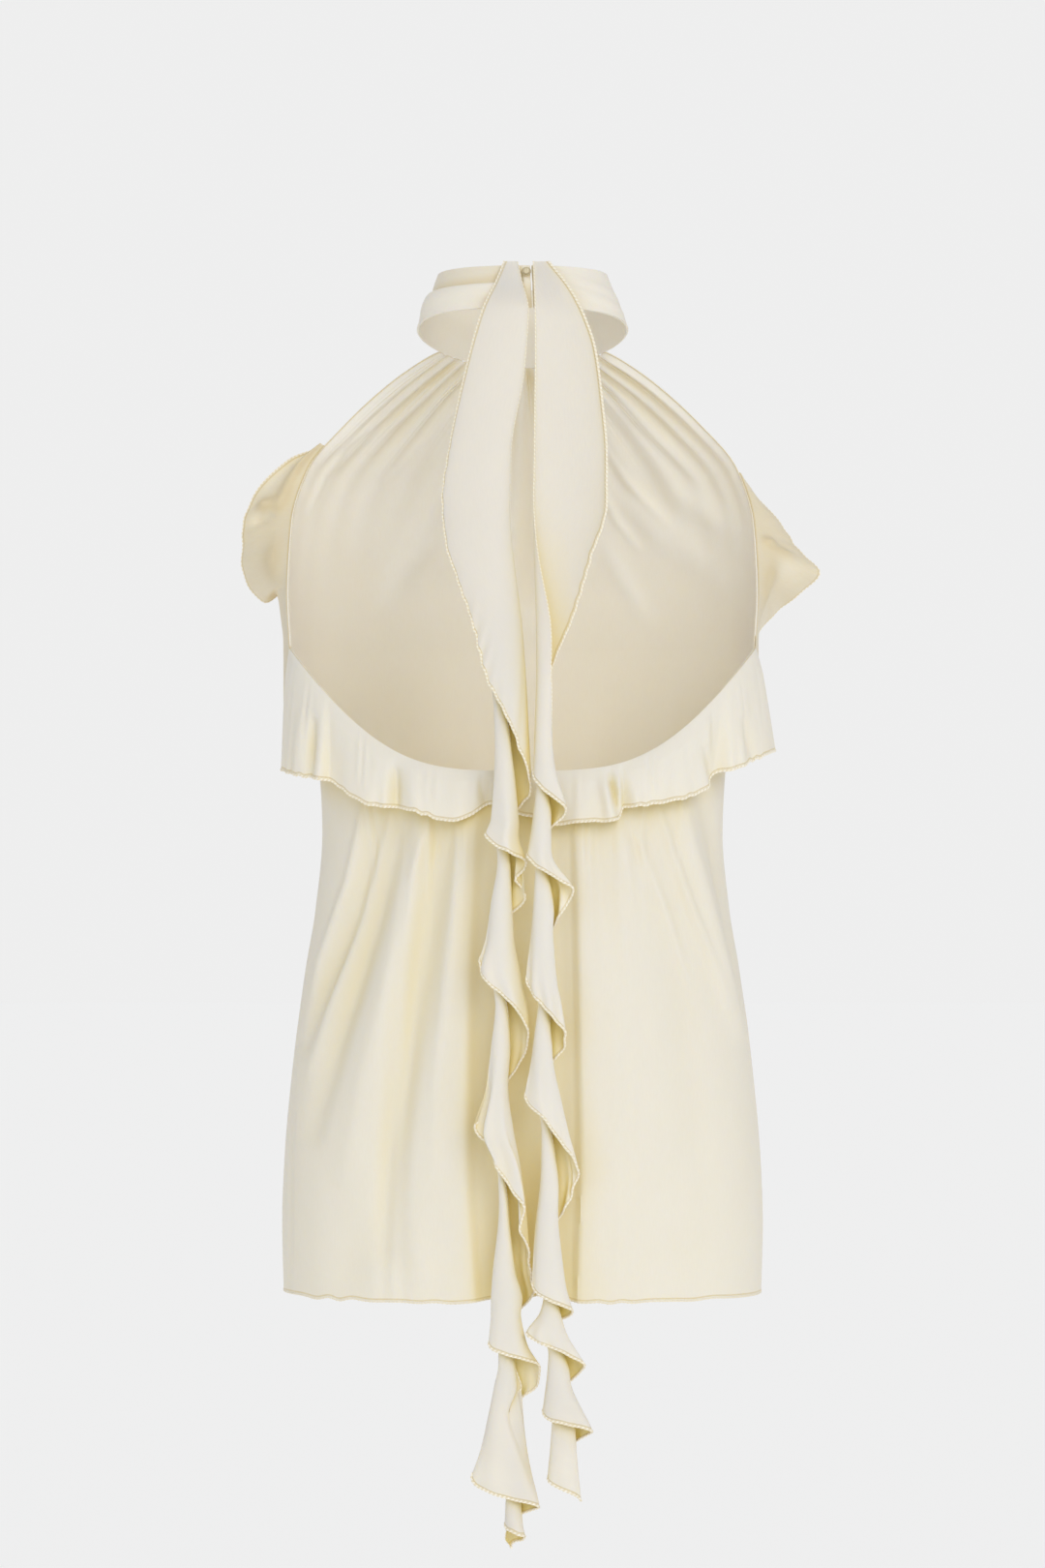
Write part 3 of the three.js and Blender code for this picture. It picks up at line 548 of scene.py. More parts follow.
# Button and its thread loop
BUTTON_X = -2.4
BUTTON_Z = 19.5
BUTTON_RADIUS = 2
BUTTON_HEIGHT = 2.4
LOOP_RADIUS = 2.6
LOOP_THREAD_RADIUS = 0.4
LOOP_STRAND_RADIUS = 0.21
LOOP_STRAND_OFFSET = 0.17
LOOP_TWISTS = 22
BUTTON_STAND_OFF = 0.4
PUCKER_COUNT = 9
PUCKER_DEPTH = 0.05


def lerp(a, b, t):
    return a + (b - a) * t


def ramp(place, start, length):
    """0 up to start, then evenly up to 1 over length."""
    return np.clip((place - start) / length, 0, 1)


def curve(rows, key, value):
    """A smooth curve through table rows that never overshoots them."""
    rows = sorted(rows, key=lambda row: row[key])
    keys = np.array([row[key] for row in rows], float)
    values = np.array([row[value] for row in rows], float)
    rises = np.diff(values) / np.diff(keys)
    slopes = np.concatenate([rises[:1], np.zeros(len(keys) - 2), rises[-1:]])
    before, after = rises[:-1], rises[1:]
    same = before * after > 0
    slopes[1:-1][same] = 2 * before[same] * after[same] / (before[same] + after[same])

    def at(place):
        place = np.clip(place, keys[0], keys[-1])
        i = np.clip(np.searchsorted(keys, place) - 1, 0, len(keys) - 2)
        step = keys[i + 1] - keys[i]
        t = (place - keys[i]) / step
        t2, t3 = t * t, t * t * t
        return (
            (2 * t3 - 3 * t2 + 1) * values[i]
            + (t3 - 2 * t2 + t) * step * slopes[i]
            + (3 * t2 - 2 * t3) * values[i + 1]
            + (t3 - t2) * step * slopes[i + 1]
        )

    return at


def grid_normals(grid):
    """The unit normals of a grid of points, rows by columns."""
    padded = np.pad(grid, ((1, 1), (1, 1), (0, 0)), mode="edge")
    across = padded[1:-1, 2:] - padded[1:-1, :-2]
    along = padded[2:, 1:-1] - padded[:-2, 1:-1]
    normals = np.cross(across, along)
    return normals / np.maximum(np.linalg.norm(normals, axis=2, keepdims=True), 1e-9)


def moved(grid, height):
    return grid + grid_normals(grid) * height[:, :, None]


def make_grid(rows, columns):
    """across and along, each 0 to 1 over a grid."""
    return np.meshgrid(np.linspace(0, 1, columns + 1), np.linspace(0, 1, rows + 1))


def path_distance(path, x, z):
    """How far places lie from a path, and how far along it, 0 to 1."""
    distance = np.full(np.shape(x), np.inf)
    along = np.zeros(np.shape(x))
    for i, ((x0, z0), (x1, z1)) in enumerate(zip(path, path[1:])):
        length_squared = (x1 - x0) ** 2 + (z1 - z0) ** 2
        t = np.clip(((x - x0) * (x1 - x0) + (z - z0) * (z1 - z0)) / length_squared, 0, 1)
        away = np.hypot(x - lerp(x0, x1, t), z - lerp(z0, z1, t))
        nearer = away < distance
        distance = np.where(nearer, away, distance)
        along = np.where(nearer, (i + t) / (len(path) - 1), along)
    return distance, along


def fold_height(folds, x, z):
    """The height of all folds at places, each one soft at its sides and ends."""
    height = np.zeros(np.shape(x))
    for fold in folds:
        distance, along = path_distance(fold["path"], x, z)
        fade = lerp(FOLD_END_HEIGHT, 1, np.sin(np.pi * along))
        height += fold["height"] * fade * np.exp(-((distance / fold["width"]) ** 2))
    return height


def uneven_waves(place, count, phase):
    """Waves of uneven width and height, -1 to 1, with about count of them over place 0 to 1."""
    warp = 0.32 * np.sin(0.31 * count * 2 * np.pi * place + phase)
    warp += 0.22 * np.sin(0.53 * count * 2 * np.pi * place + 2.3 * phase)
    size = 0.68 + 0.32 * np.sin(0.23 * count * 2 * np.pi * place + 1.7 * phase)
    return size * np.cos(2 * np.pi * (count * place + warp))


def lengths(grid, axis):
    """How far each grid point lies along its row or column."""
    steps = np.linalg.norm(np.diff(grid, axis=axis), axis=2)
    start = np.zeros_like(np.take(steps, [0], axis=axis))
    return np.concatenate([start, np.cumsum(steps, axis=axis)], axis=axis)


# Body sections
half_width_at = curve(BODY, "z", "half_width")
front_depth_at = curve(BODY, "z", "front")
back_depth_at = curve(BODY, "z", "back")


def back_point(angle, z):
    across = np.sign(angle) * np.abs(np.sin(angle)) ** SECTION_POWER
    depth = np.abs(np.cos(angle)) ** SECTION_POWER
    return np.stack([half_width_at(z) * across, back_depth_at(z) * depth, z + 0 * angle], axis=-1)


def back_edge_height(angle):
    across = np.abs(np.sin(angle)) ** SECTION_POWER
    return lerp(BACK_NECK_LOW, UNDERARM, across**BACK_EDGE_POWER)


# Neck band
def band_point(turn, rise):
    sunk = ((1 - np.cos(turn)) / 2) ** 1.6
    bottom = (
        BAND_BOTTOM_HALF_WIDTH * np.sin(turn),
        BAND_BOTTOM_HALF_DEPTH * np.cos(turn),
        lerp(BAND_BACK_BOTTOM, BAND_FRONT_BOTTOM, sunk),
    )
    top = (
        BAND_TOP_HALF_WIDTH * np.sin(turn),
        BAND_TOP_HALF_DEPTH * np.cos(turn),
        lerp(BAND_BACK_TOP, BAND_FRONT_TOP, sunk),
    )
    return np.stack([lerp(b, t, rise) for b, t in zip(bottom, top)], axis=-1)


def band_pleat_height(turn, rise):
    aside = np.sin(turn)
    towards_back = np.clip(0.5 + np.cos(turn), 0, 1)
    total = np.zeros(np.shape(rise))
    for pleat in BAND_PLEATS:
        on_side = pleat["side"] * aside > 0
        middle = lerp(pleat["at_back"], pleat["at_side"], np.abs(aside))
        height = pleat["height"] * np.minimum(1, 4 * np.abs(aside))
        total += on_side * height * np.exp(-(((rise - middle) / pleat["width"]) ** 2))
    return total * towards_back


def neck_band_grid():
    start = math.radians(BAND_SLIT_DEG + BAND_SLIT_WIDTH_DEG / 2)
    end = math.radians(BAND_SLIT_DEG - BAND_SLIT_WIDTH_DEG / 2 + 360)
    across, rise = make_grid(BAND_ROWS, BAND_COLUMNS)
    turn = lerp(start, end, across)
    edge = np.sin(np.pi * rise)
    aside = np.sin(turn)
    # A crisp fold line on the left, and soft gathers that run in from the ties
    left_back = (aside > 0) * np.clip(0.6 + np.cos(turn), 0, 1)
    crisp = BAND_FOLD_HEIGHT * left_back * np.tanh((BAND_FOLD_RISE - rise) / BAND_FOLD_SHARPNESS)
    near_ties = np.exp(-(((np.abs(aside) - 0.25) / 0.3) ** 2)) * (np.cos(turn) > 0)
    gathers = BAND_GATHER_HEIGHT * near_ties * np.cos(2 * np.pi * (3.1 * rise + 0.8 * np.abs(aside)))
    front = np.clip(-np.cos(turn), 0, 1)
    front_folds = BAND_FRONT_FOLD_HEIGHT * front * np.sin(2 * np.pi * (1.6 * rise + 0.15 * np.sin(3 * turn)))
    height = edge * (band_pleat_height(turn, rise) + gathers + front_folds + crisp * edge)
    # Painted shade: the upper part of the band on the left, above its crisp fold, and the troughs of all its
    # folds
    shade = BAND_UPPER_SHADE * left_back * (rise > BAND_FOLD_RISE)
    return moved(band_point(turn, rise), -height), shade - height / BAND_SHADE_HEIGHT


# Front panel
yoke = {name: curve(YOKE, "row", name) for name in YOKE[0]}


def front_point(across, row):
    """A place on the front: across -1 to 1, row 0 at the neck seam, then on past the underarm."""
    upper = np.minimum(row, YOKE_ROWS)
    lower_z = lerp(UNDERARM, HEM, np.maximum(0, row - YOKE_ROWS))
    power = yoke["power"](upper)
    reach = np.radians(yoke["deg"](upper))
    angle = np.abs(across) * reach
    side = np.sign(across) * np.sin(angle) ** power / np.sin(reach) ** power
    rim = np.maximum(np.cos(reach), 0) ** power
    bulge = (np.maximum(np.cos(angle), 0) ** power - rim) / (1 - rim)
    below = row > YOKE_ROWS
    x = np.where(below, half_width_at(lower_z), yoke["edge_x"](upper)) * side
    y_upper = lerp(yoke["edge_y"](upper), yoke["centre_y"](upper), bulge)
    y = np.where(below, -front_depth_at(lower_z) * bulge, y_upper) - SEAM_GAP / 2
    z_upper = lerp(yoke["centre_z"](upper), yoke["edge_z"](upper), across**2)
    return np.stack([x, y, np.where(below, lower_z, z_upper)], axis=-1)


def front_grid_point(across, row):
    """The neck row follows the lower edge of the band, just clear of it."""
    blend = np.clip(1 - row / 0.6, 0, 1) ** 2
    seam = band_point(np.pi - across * math.radians(NECK_SEAM_DEG), 0 * row)
    seam[..., 2] -= NECK_SEAM_DROP
    return lerp(front_point(across, row), seam, blend[..., None])


def front_panel_grid():
    row_places = np.concatenate(
        [np.linspace(0, YOKE_ROWS, YOKE_LINES)[:-1], np.linspace(YOKE_ROWS, YOKE_ROWS + 1, BODY_LINES)]
    )
    across, row = np.meshgrid(np.linspace(1, -1, FRONT_COLUMN_LINES), row_places)
    plain = front_grid_point(across, row)
    x, z = plain[..., 0], plain[..., 2]
    below = np.maximum(0, BAND_FRONT_BOTTOM - z)
    rim = np.minimum(1, (1 - np.abs(across)) * 12)
    main = GATHER_HEIGHT * np.exp(-((below / GATHER_REACH) ** 2))
    uneven = 0.75 + 0.25 * np.cos(9 * across + 1)
    height = GATHER_CRISPNESS * main * uneven * np.cos(np.pi * GATHER_COUNT * (across + 1))
    # Fine gathers between the main ones, which die out soonest
    fine = uneven_waves((across + 1) / 2, count=FINE_GATHER_COUNT, phase=0.7)
    height += FINE_GATHER_HEIGHT * np.exp(-((below / FINE_GATHER_REACH) ** 2)) * fine
    strength = lerp(FRONT_FOLD_RIGHT, FRONT_FOLD_LEFT, np.clip(0.5 + x / 40, 0, 1))
    height += strength * rim * fold_height(FRONT_FOLDS, x, z)
    height += FRONT_CREASE * rim * fold_height(FRONT_CREASES, x, z)
    height *= lerp(0.3, 1, np.clip(row / 0.35, 0, 1))
    hanging = ramp(-z, 230, 120)
    slanted = (across + 1) / 2 + (z + 400) * across * 8e-5
    height += rim * FRONT_WAVE * hanging * uneven_waves(slanted, count=11, phase=2.1)
    dents = np.sin(x / 17 + 1.3 * np.sin(z / 41)) * np.sin(z / 29 + 1.1 * np.sin(x / 33))
    height += FRONT_UNEVENNESS * rim * dents
    grid = moved(plain, height)
    low = ramp(row, 6.9, 0.1)
    grid[..., 2] += low * HEM_WAVE * uneven_waves((across + 1) / 2, count=9, phase=1.2)
    # The side edges of the body tuck in under the back panel
    tucked = np.clip((row - YOKE_ROWS) * 40, 0, 1) * (np.abs(across) > 1 - 1e-6)
    grid[..., 1] += tucked * SIDE_TUCK
    grid[..., 0] -= tucked * np.sign(across) * SIDE_TUCK_IN
    # Also how low each place lies, for the painted shade that darkens the inside towards the bottom
    return grid, height, ramp(-z, 110, 170)


# Back panel
def hem_height(x):
    return HEM + HEM_LIFT_UNDER_TIES * np.exp(-(((x + 3) / 26) ** 4))


def back_panel_grid():
    angle = np.radians(np.linspace(-SIDE_ANGLE_DEG, SIDE_ANGLE_DEG, BACK_COLUMNS + 1))[None, :]
    along = np.linspace(0, 1, BACK_ROWS + 1)[:, None]
    top = back_edge_height(angle)
    low = hem_height(back_point(angle, HEM)[..., 0])
    plain = back_point(angle + 0 * along, lerp(top, low, along**1.1))
    x, z = plain[..., 0], plain[..., 2]
    rim = np.minimum(1, np.cos(angle) * 3) * np.minimum(1, along * 11 / 2)
    height = BACK_FOLD * rim * fold_height(BACK_FOLDS, x, z)
    height += BACK_CREASE * rim * fold_height(BACK_CREASES, x, z)
    below = top - z
    place = (x / half_width_at(z) + 1) / 2
    for pleat in BACK_PLEATS:
        past = pleat["side"] * (x - curve(pleat["line"], "z", "x")(z))
        step = 0.5 + 0.5 * np.tanh(past / pleat["sharpness"])
        height += rim * pleat["height"] * step * np.exp(-np.maximum(0, past) / pleat["reach"])
    past_start = np.maximum(0, below - SEAM_GATHER_START)
    seam_gathers = np.minimum(1, below / SEAM_GATHER_START) * np.exp(-((past_start / SEAM_GATHER_REACH) ** 2))
    waves = uneven_waves(place, count=SEAM_GATHER_COUNT, phase=1.1)
    height += SEAM_GATHER_HEIGHT * np.cos(angle) ** 0.5 * seam_gathers * waves
    hanging = np.clip(below / 120, 0, 1)
    height += rim * BACK_WAVE * hanging * uneven_waves(place, count=12, phase=0.4)
    dents = np.sin(x / 15 + 1.4 * np.sin(z / 37)) * np.sin(z / 31 + 1.2 * np.sin(x / 27))
    height += BACK_UNEVENNESS * rim * dents
    grid = moved(plain, height)
    near_hem = ramp(along, 0.93, 0.07)
    grid[..., 2] += near_hem * HEM_WAVE * uneven_waves(place, count=10, phase=0.9)
    return grid, height


def hanging_point(angle, top, z):
    """A place of the back flounce, which hangs straight down where the body narrows."""
    point = back_point(angle, z)
    edge = back_point(angle, top)
    grown = np.hypot(edge[..., 0], edge[..., 1]) / np.hypot(point[..., 0], point[..., 1])
    point[..., :2] *= np.maximum(1, grown)[..., None]
    return point


def back_flounce_grid():
    hem_z = curve(BACK_FLOUNCE, "x", "hem_z")
    out = curve(BACK_FLOUNCE, "x", "out")
    across, along = make_grid(FLOUNCE_ROWS, FLOUNCE_COLUMNS)
    angle = np.radians(lerp(-SIDE_ANGLE_DEG, SIDE_ANGLE_DEG, across))
    top = back_edge_height(angle)
    edge_x = back_point(angle, top)[..., 0]
    plain = hanging_point(angle, top, lerp(top, hem_z(edge_x), along))
    clear = lerp(SHELL + FLOUNCE_BASE_CLEAR, CAD_CLOTH + SEAM_GAP, np.clip(along * 4, 0, 1))
    fine = np.sin(np.pi * np.clip(along * 1.2, 0, 1)) * uneven_waves(across, count=30, phase=0.3)
    ripple = along**2 * uneven_waves(across, count=17, phase=1.9)
    folds = np.clip(along * 3, 0, 1) * fold_height(FLOUNCE_FOLDS, plain[..., 0], plain[..., 2])
    height = clear + along**0.8 * out(edge_x) + 0.3 * fine + 0.9 * ripple + folds
    height = np.maximum(height, clear)
    grid = moved(plain, height)
    grid[..., 2] += 0.6 * along**3 * uneven_waves(across, count=24, phase=2.4)
    return grid, folds + 0.3 * fine


# Armhole flounces
HALVINGS = 30


def armhole_edge(z, sign, clear):
    """The armhole edge of the front panel at a height, moved out by clear."""
    one = np.ones_like(z)
    low, high = 0 * z, YOKE_ROWS * one
    for _ in range(HALVINGS):
        middle = (low + high) / 2
        above = front_point(one, middle)[..., 2] > z
        low, high = np.where(above, middle, low), np.where(above, high, middle)
    row = (low + high) / 2
    edge = front_point(sign * one, row)
    inward = front_point(0.96 * sign * one, row) - edge
    ahead = np.minimum(row + 0.1, YOKE_ROWS)
    down = front_point(sign * one, ahead) - front_point(sign * one, ahead - 0.1)
    out = sign * np.cross(inward, down)
    out /= np.linalg.norm(out, axis=-1, keepdims=True)
    return edge + out * clear


def armhole_flounce_grid(table, top, sign, dents, tuck):
    hem = {name: curve(table, "t", name) for name in "xyz"}
    across, along = make_grid(ARMHOLE_ROWS, ARMHOLE_COLUMNS)
    t = across if sign > 0 else 1 - across
    clear = lerp(SHELL + SEAM_GAP, CAD_CLOTH + 2 * SEAM_GAP, np.clip(along * 4, 0, 1))[..., None]
    edge = armhole_edge(lerp(top, UNDERARM, t), sign, clear)
    edge[..., 1] = np.minimum(edge[..., 1], -SIDE_SEAM_CLEAR)
    low = np.stack([hem[name](t) for name in "xyz"], axis=-1)
    grid = lerp(edge, low, along[..., None])
    grid[..., 0] += sign * FLOUNCE_BULGE * np.sin(np.pi * along) * np.sin(np.pi * t)
    grid[..., 0] += sign * FLOUNCE_RIPPLE * along * np.sin(np.pi * t) * np.cos(8 * np.pi * t)
    # The lower end lies just behind the back flounce, and its last edge tucks in under it
    last = ramp(t, 0.985, 0.015)
    grid[..., 1] += last * SIDE_TUCK
    grid[..., 0] -= sign * last * SIDE_TUCK_IN
    grid[..., 0] -= sign * tuck * along * ramp(t, 0.66, 0.12)
    height = np.zeros_like(t)
    for dent in dents:
        near = ((t - dent["t"]) / dent["t_width"]) ** 2
        near += ((along - dent["out"]) / dent["out_width"]) ** 2
        height += dent["height"] * np.exp(-near)
    height += 0.12 * np.sin(np.pi * along) * uneven_waves(t, count=13, phase=0.8)
    height += 0.5 * along**2 * uneven_waves(t, count=8, phase=1.5)
    height *= np.clip(along * 5, 0, 1)
    return moved(grid, height), height


# Ties
def tie_rulings(table):
    """Each ruling runs from the hem to the inner edge, tucked above the hem a turn before."""
    rows = list(table["leaf"])
    for flute in table["flutes"]:
        before = [row for row in rows if row["z"] < -100]
        inner_z = float(curve(before, "deg", "z")(flute["deg"] - 360)) + FLUTE_OVERLAP
        rows.append(
            dict(flute, inner_deg=flute["deg"], inner_z=inner_z, inner_roll=FLUTE_INNER_ROLL)
        )
    numbered = [dict(row, step=step) for step, row in enumerate(rows)]
    steps = []
    for step, (row, after) in enumerate(zip(rows, rows[1:])):
        turned = abs(after["deg"] - row["deg"]) / TIE_STEP_DEG
        fallen = abs(after["z"] - row["z"]) / TIE_STEP_HEIGHT
        parts = math.ceil(max(turned, fallen))
        steps += [step + part / parts for part in range(parts)]
    steps = np.array(steps + [len(rows) - 1])
    return {name: curve(numbered, "step", name)(steps) for name in rows[0]}


def tie_grid(table, leaf_ripple, phase, curls):
    at = {name: curve(table["outline"], "z", name) for name in table["outline"][0]}
    rulings = {name: values[:, None] for name, values in tie_rulings(table).items()}
    inward = np.linspace(0, 1, TIE_COLUMNS + 1)[None, :]
    z = lerp(rulings["z"], rulings["inner_z"], inward)
    angle = np.radians(lerp(rulings["deg"], rulings["inner_deg"], inward))
    roll = lerp(1, rulings["inner_roll"], inward)
    # Past its last wide flute a tie keeps the narrow form of its end
    narrowed = ramp(rulings["deg"], table["end_deg"], 90)
    form_z = lerp(z, np.minimum(z, table["end_z"]), narrowed)
    middle_x = (at["left"](form_z) + at["right"](form_z)) / 2
    half_width = (at["left"](form_z) - at["right"](form_z)) / 2
    x = lerp(at["axis_x"](form_z), middle_x + half_width * np.cos(angle), lerp(roll, 1, 0.6 * narrowed))
    y = at["middle_y"](form_z) + at["half_depth"](form_z) * roll * np.sin(angle)
    grid = np.stack([x, y, z], axis=-1)
    # The hem ripples, most where the tie is cut round, and not where it is sewn to the band
    down = lengths(grid, 0)[:, :1]
    free = ramp(-rulings["z"], 60, 120)
    flutes = ramp(-rulings["z"], 290, 60)
    hem = np.exp(-((inward / lerp(0.13, 0.2, flutes)) ** 2))
    wave = np.cos(2 * np.pi * (down / 17 + 0.45 * np.sin(down / 23 + phase)))
    uneven = 0.65 + 0.35 * np.sin(down / 19 + 2 * phase)
    height = hem * uneven * (0.45 * leaf_ripple * free * (1 - flutes) + 0.9 * flutes) * wave
    soft = np.sin(np.pi * inward) * ramp(-rulings["z"], -20, 60)
    height = height + 0.5 * soft * np.sin(down / 38 + phase) * np.cos(3.1 * inward + down / 60)
    grid = moved(grid, height)
    outward = grid[:, :1] - grid[:, 2:3]
    outward /= np.linalg.norm(outward, axis=2, keepdims=True)
    notch = 0.8 * uneven * leaf_ripple * free * (1 - 0.6 * flutes) * np.exp(-((inward / 0.12) ** 2))
    grid = grid + outward * (notch * np.cos(2 * np.pi * down / 11 + np.sin(down / 17)))[..., None]
    for curl in curls:
        near = np.exp(-(((rulings["z"] - curl["z"]) / curl["width"]) ** 2))
        near = near * np.exp(-((inward / CURL_DEPTH) ** 2))
        grid = grid + near[..., None] * np.array([curl[name] for name in ("dx", "dy", "dz")])
    # The fold value of a tie paints light by height: its plain, greyer colour at the top, lighter cream
    # further down, a little darker again at the end
    return grid, ramp(-z, 150, 160) - TIE_END_SHADE * ramp(-z, 610, 70)


# Meshes
def new_object(name, points, faces, cloth, fold, hem):
    """A smooth mesh in metres.

    cloth: places on the flat cloth in mm. fold: painted shade, 0 to 1, most in the troughs of folds
    and in other shaded places; on the ties it paints light further down. hem: mm from the hem.
    """
    mesh = bpy.data.meshes.new(name)
    mesh.from_pydata((points * MM).tolist(), [], faces)
    mesh.polygons.foreach_set("use_smooth", [True] * len(mesh.polygons))
    mesh.attributes.new("cloth", "FLOAT_VECTOR", "POINT").data.foreach_set(
        "vector", np.ascontiguousarray(cloth, np.float32).ravel()
    )
    for label, values in (("fold", fold), ("hem", hem)):
        mesh.attributes.new(label, "FLOAT", "POINT").data.foreach_set(
            "value", np.ascontiguousarray(values, np.float32).ravel()
        )
    mesh.update()
    mesh.set_sharp_from_angle(angle=math.radians(50))
    piece = bpy.data.objects.new(name, mesh)
    bpy.context.scene.collection.objects.link(piece)
    return piece


def quads(a, b, c, d):
    """Faces from the indices of their four corners."""
    return np.stack([a.ravel(), b.ravel(), c.ravel(), d.ravel()], axis=1)


def shell_faces(rows, columns):
    """Quads of a closed shell whose outer grid comes first, with its rim."""
    index = np.arange(rows * columns).reshape(rows, columns)
    inner = index + rows * columns
    return np.concatenate(
        [
            quads(index[:-1, :-1], index[:-1, 1:], index[1:, 1:], index[1:, :-1]),
            quads(inner[:-1, :-1], inner[1:, :-1], inner[1:, 1:], inner[:-1, 1:]),
            quads(inner[:-1, 0], index[:-1, 0], index[1:, 0], inner[1:, 0]),
            quads(index[:-1, -1], inner[:-1, -1], inner[1:, -1], index[1:, -1]),
            quads(index[0, :-1], inner[0, :-1], inner[0, 1:], index[0, 1:]),
            quads(inner[-1, :-1], index[-1, :-1], index[-1, 1:], inner[-1, 1:]),
        ]
    ).tolist()


def shell(name, grid, thickness, fold, hem=None, inner_fold=None):
    """A closed cloth shell about a grid of points. hem: how far each one lies from the hem."""
    normals = grid_normals(grid)
    sides = [grid + side * thickness * normals for side in (0.5, -0.5)]
    middle = grid.shape[1] // 2
    along = lengths(grid, 1)
    flat = np.stack([along - along[:, middle : middle + 1], lengths(grid, 0), 0 * along], axis=-1)
    points = np.concatenate([side.reshape(-1, 3) for side in sides])
    cloth = np.concatenate([flat.reshape(-1, 3)] * 2)
    # fold and inner_fold: painted shade of the outer and the inner side
    inner_fold = fold if inner_fold is None else inner_fold
    deep = np.clip(np.concatenate([fold.ravel(), inner_fold.ravel()]), 0, 1)
    far = np.full(grid.shape[:2], NO_HEM) if hem is None else hem
    far = np.concatenate([far.ravel()] * 2)
    return new_object(name, points, shell_faces(*grid.shape[:2]), cloth, deep, far)


STITCH_PITCH = 2.6
STEPS_A_STITCH = 4.2
THREAD_RELIEF = 0.22
# A direction that no hem runs along
SLANTED = (0.31, 0.83, 0.46)


def even_steps(line, step):
    """The line again, with points step apart, and how far along it each one is."""
    along = np.concatenate([[0], np.cumsum(np.linalg.norm(np.diff(line, axis=0), axis=1))])
    places = np.linspace(0, along[-1], max(8, int(along[-1] / step)))
    return np.stack([np.interp(places, along, line[:, k]) for k in range(3)], axis=1), places


def thread_edge(name, line, radius, pitch, sides=6):
    """An overlocked edge: a tube along a line, with thread wound round it."""
    points, along = even_steps(line, pitch / STEPS_A_STITCH)
    ahead = np.gradient(points, axis=0)
    ahead /= np.linalg.norm(ahead, axis=1, keepdims=True)
    side = np.cross(ahead, SLANTED)
    side /= np.linalg.norm(side, axis=1, keepdims=True)
    up = np.cross(side, ahead)
    angles = np.linspace(0, 2 * np.pi, sides, endpoint=False)[None, :]
    wound = radius * (1 + THREAD_RELIEF * np.cos(2 * np.pi * along[:, None] / pitch - angles))
    ring = np.cos(angles)[..., None] * side[:, None] + np.sin(angles)[..., None] * up[:, None]
    tube = points[:, None] + ring * wound[..., None]
    count = len(points)
    index = np.arange(count * sides).reshape(count, sides)
    turned = np.roll(index, -1, axis=1)
    faces = quads(index[:-1], index[1:], turned[1:], turned[:-1]).tolist()
    faces += [index[0].tolist(), index[-1][::-1].tolist()]
    cloth = np.stack([along[:, None] + 0 * angles, angles + 0 * along[:, None], 0 * wound], axis=-1)
    plain = 0 * wound.ravel()
    return new_object(name, tube.reshape(-1, 3), faces, cloth.reshape(-1, 3), plain, plain)


def from_hem(grid, seam_rows=False, seam_columns=False):
    """How far each grid point lies from the hem, the last row, or from a seam, whose line is nearer."""
    down = lengths(grid, 0)
    far = down[-1:] - down
    if seam_rows:
        far = np.minimum(far, down + SEAM_LINE)
    if seam_columns:
        across = lengths(grid, 1)
        far = np.minimum(far, np.minimum(across, across[:, -1:] - across) + SEAM_LINE)
    return far


# Materials
def add_node(tree, kind, **settings):
    node = tree.nodes.new(kind)
    for name, value in settings.items():
        setattr(node, name, value)
    return node


def set_inputs(node, values):
    for name, value in values.items():
        node.inputs[name].default_value = value


def math_node(tree, operation, a, b=None):
    node = add_node(tree, "ShaderNodeMath", operation=operation)
    for socket, value in zip(node.inputs, (a, b)):
        if isinstance(value, (int, float)):
            socket.default_value = value
        elif value is not None:
            tree.links.new(value, socket)
    return node.outputs[0]


def linear(colour):
    """An sRGB colour, 0 to 255, as linear numbers."""
    scaled = [c / 255 for c in colour]
    return [c / 12.92 if c <= 0.04045 else ((c + 0.055) / 1.055) ** 2.4 for c in scaled] + [1]


def noise(tree, vector, stretch, scale, detail):
    """A noise texture over the flat cloth in mm, stretched along it."""
    mapping = add_node(tree, "ShaderNodeMapping")
    mapping.inputs["Scale"].default_value = stretch
    tree.links.new(vector, mapping.inputs["Vector"])
    texture = add_node(tree, "ShaderNodeTexNoise")
    set_inputs(texture, {"Scale": scale, "Detail": detail})
    tree.links.new(mapping.outputs["Vector"], texture.inputs["Vector"])
    return texture.outputs["Fac"]


def mix(tree, factor, a, b):
    node = add_node(tree, "ShaderNodeMix", data_type="RGBA")
    tree.links.new(factor, node.inputs["Factor"])
    for socket, value in ((node.inputs["A"], a), (node.inputs["B"], b)):
        if isinstance(value, list):
            socket.default_value = value
        else:
            tree.links.new(value, socket)
    return node.outputs["Result"]


def new_material(name):
    material = bpy.data.materials.new(name)
    material.use_nodes = True
    return material, material.node_tree, material.node_tree.nodes["Principled BSDF"]


# The cloth's surface, lengths in mm
WEAVE_PITCH = 0.7
WEAVE_RELIEF = 0.12
GRAIN_RELIEF = 0.6
BUMP_STRENGTH = 0.16
BUMP_DEPTH = 0.25
SLUB_TINT = 0.22
PATCH_TINT = 0.2
# How far folds take on their painted shade
FOLD_SHADE = 0.6
ROUGHNESS = 0.5
ROUGHNESS_SPREAD = 0.14
SHEEN = 0.25
SHEEN_COLOUR = (255, 248, 232)
# Samples of the ambient occlusion that paints shade in nooks
NOOK_SHADE_SAMPLES = 3
# A tan line a little in from each hem: stitching, and painted shade beside the hem's edge
STITCH_LINE = 1.5
STITCH_WIDTH = 0.7
STITCH_STRENGTH = 1.3
STITCH_AND_SHADE_COLOUR = (208, 184, 124)
LIGHT_REACH = 2.5


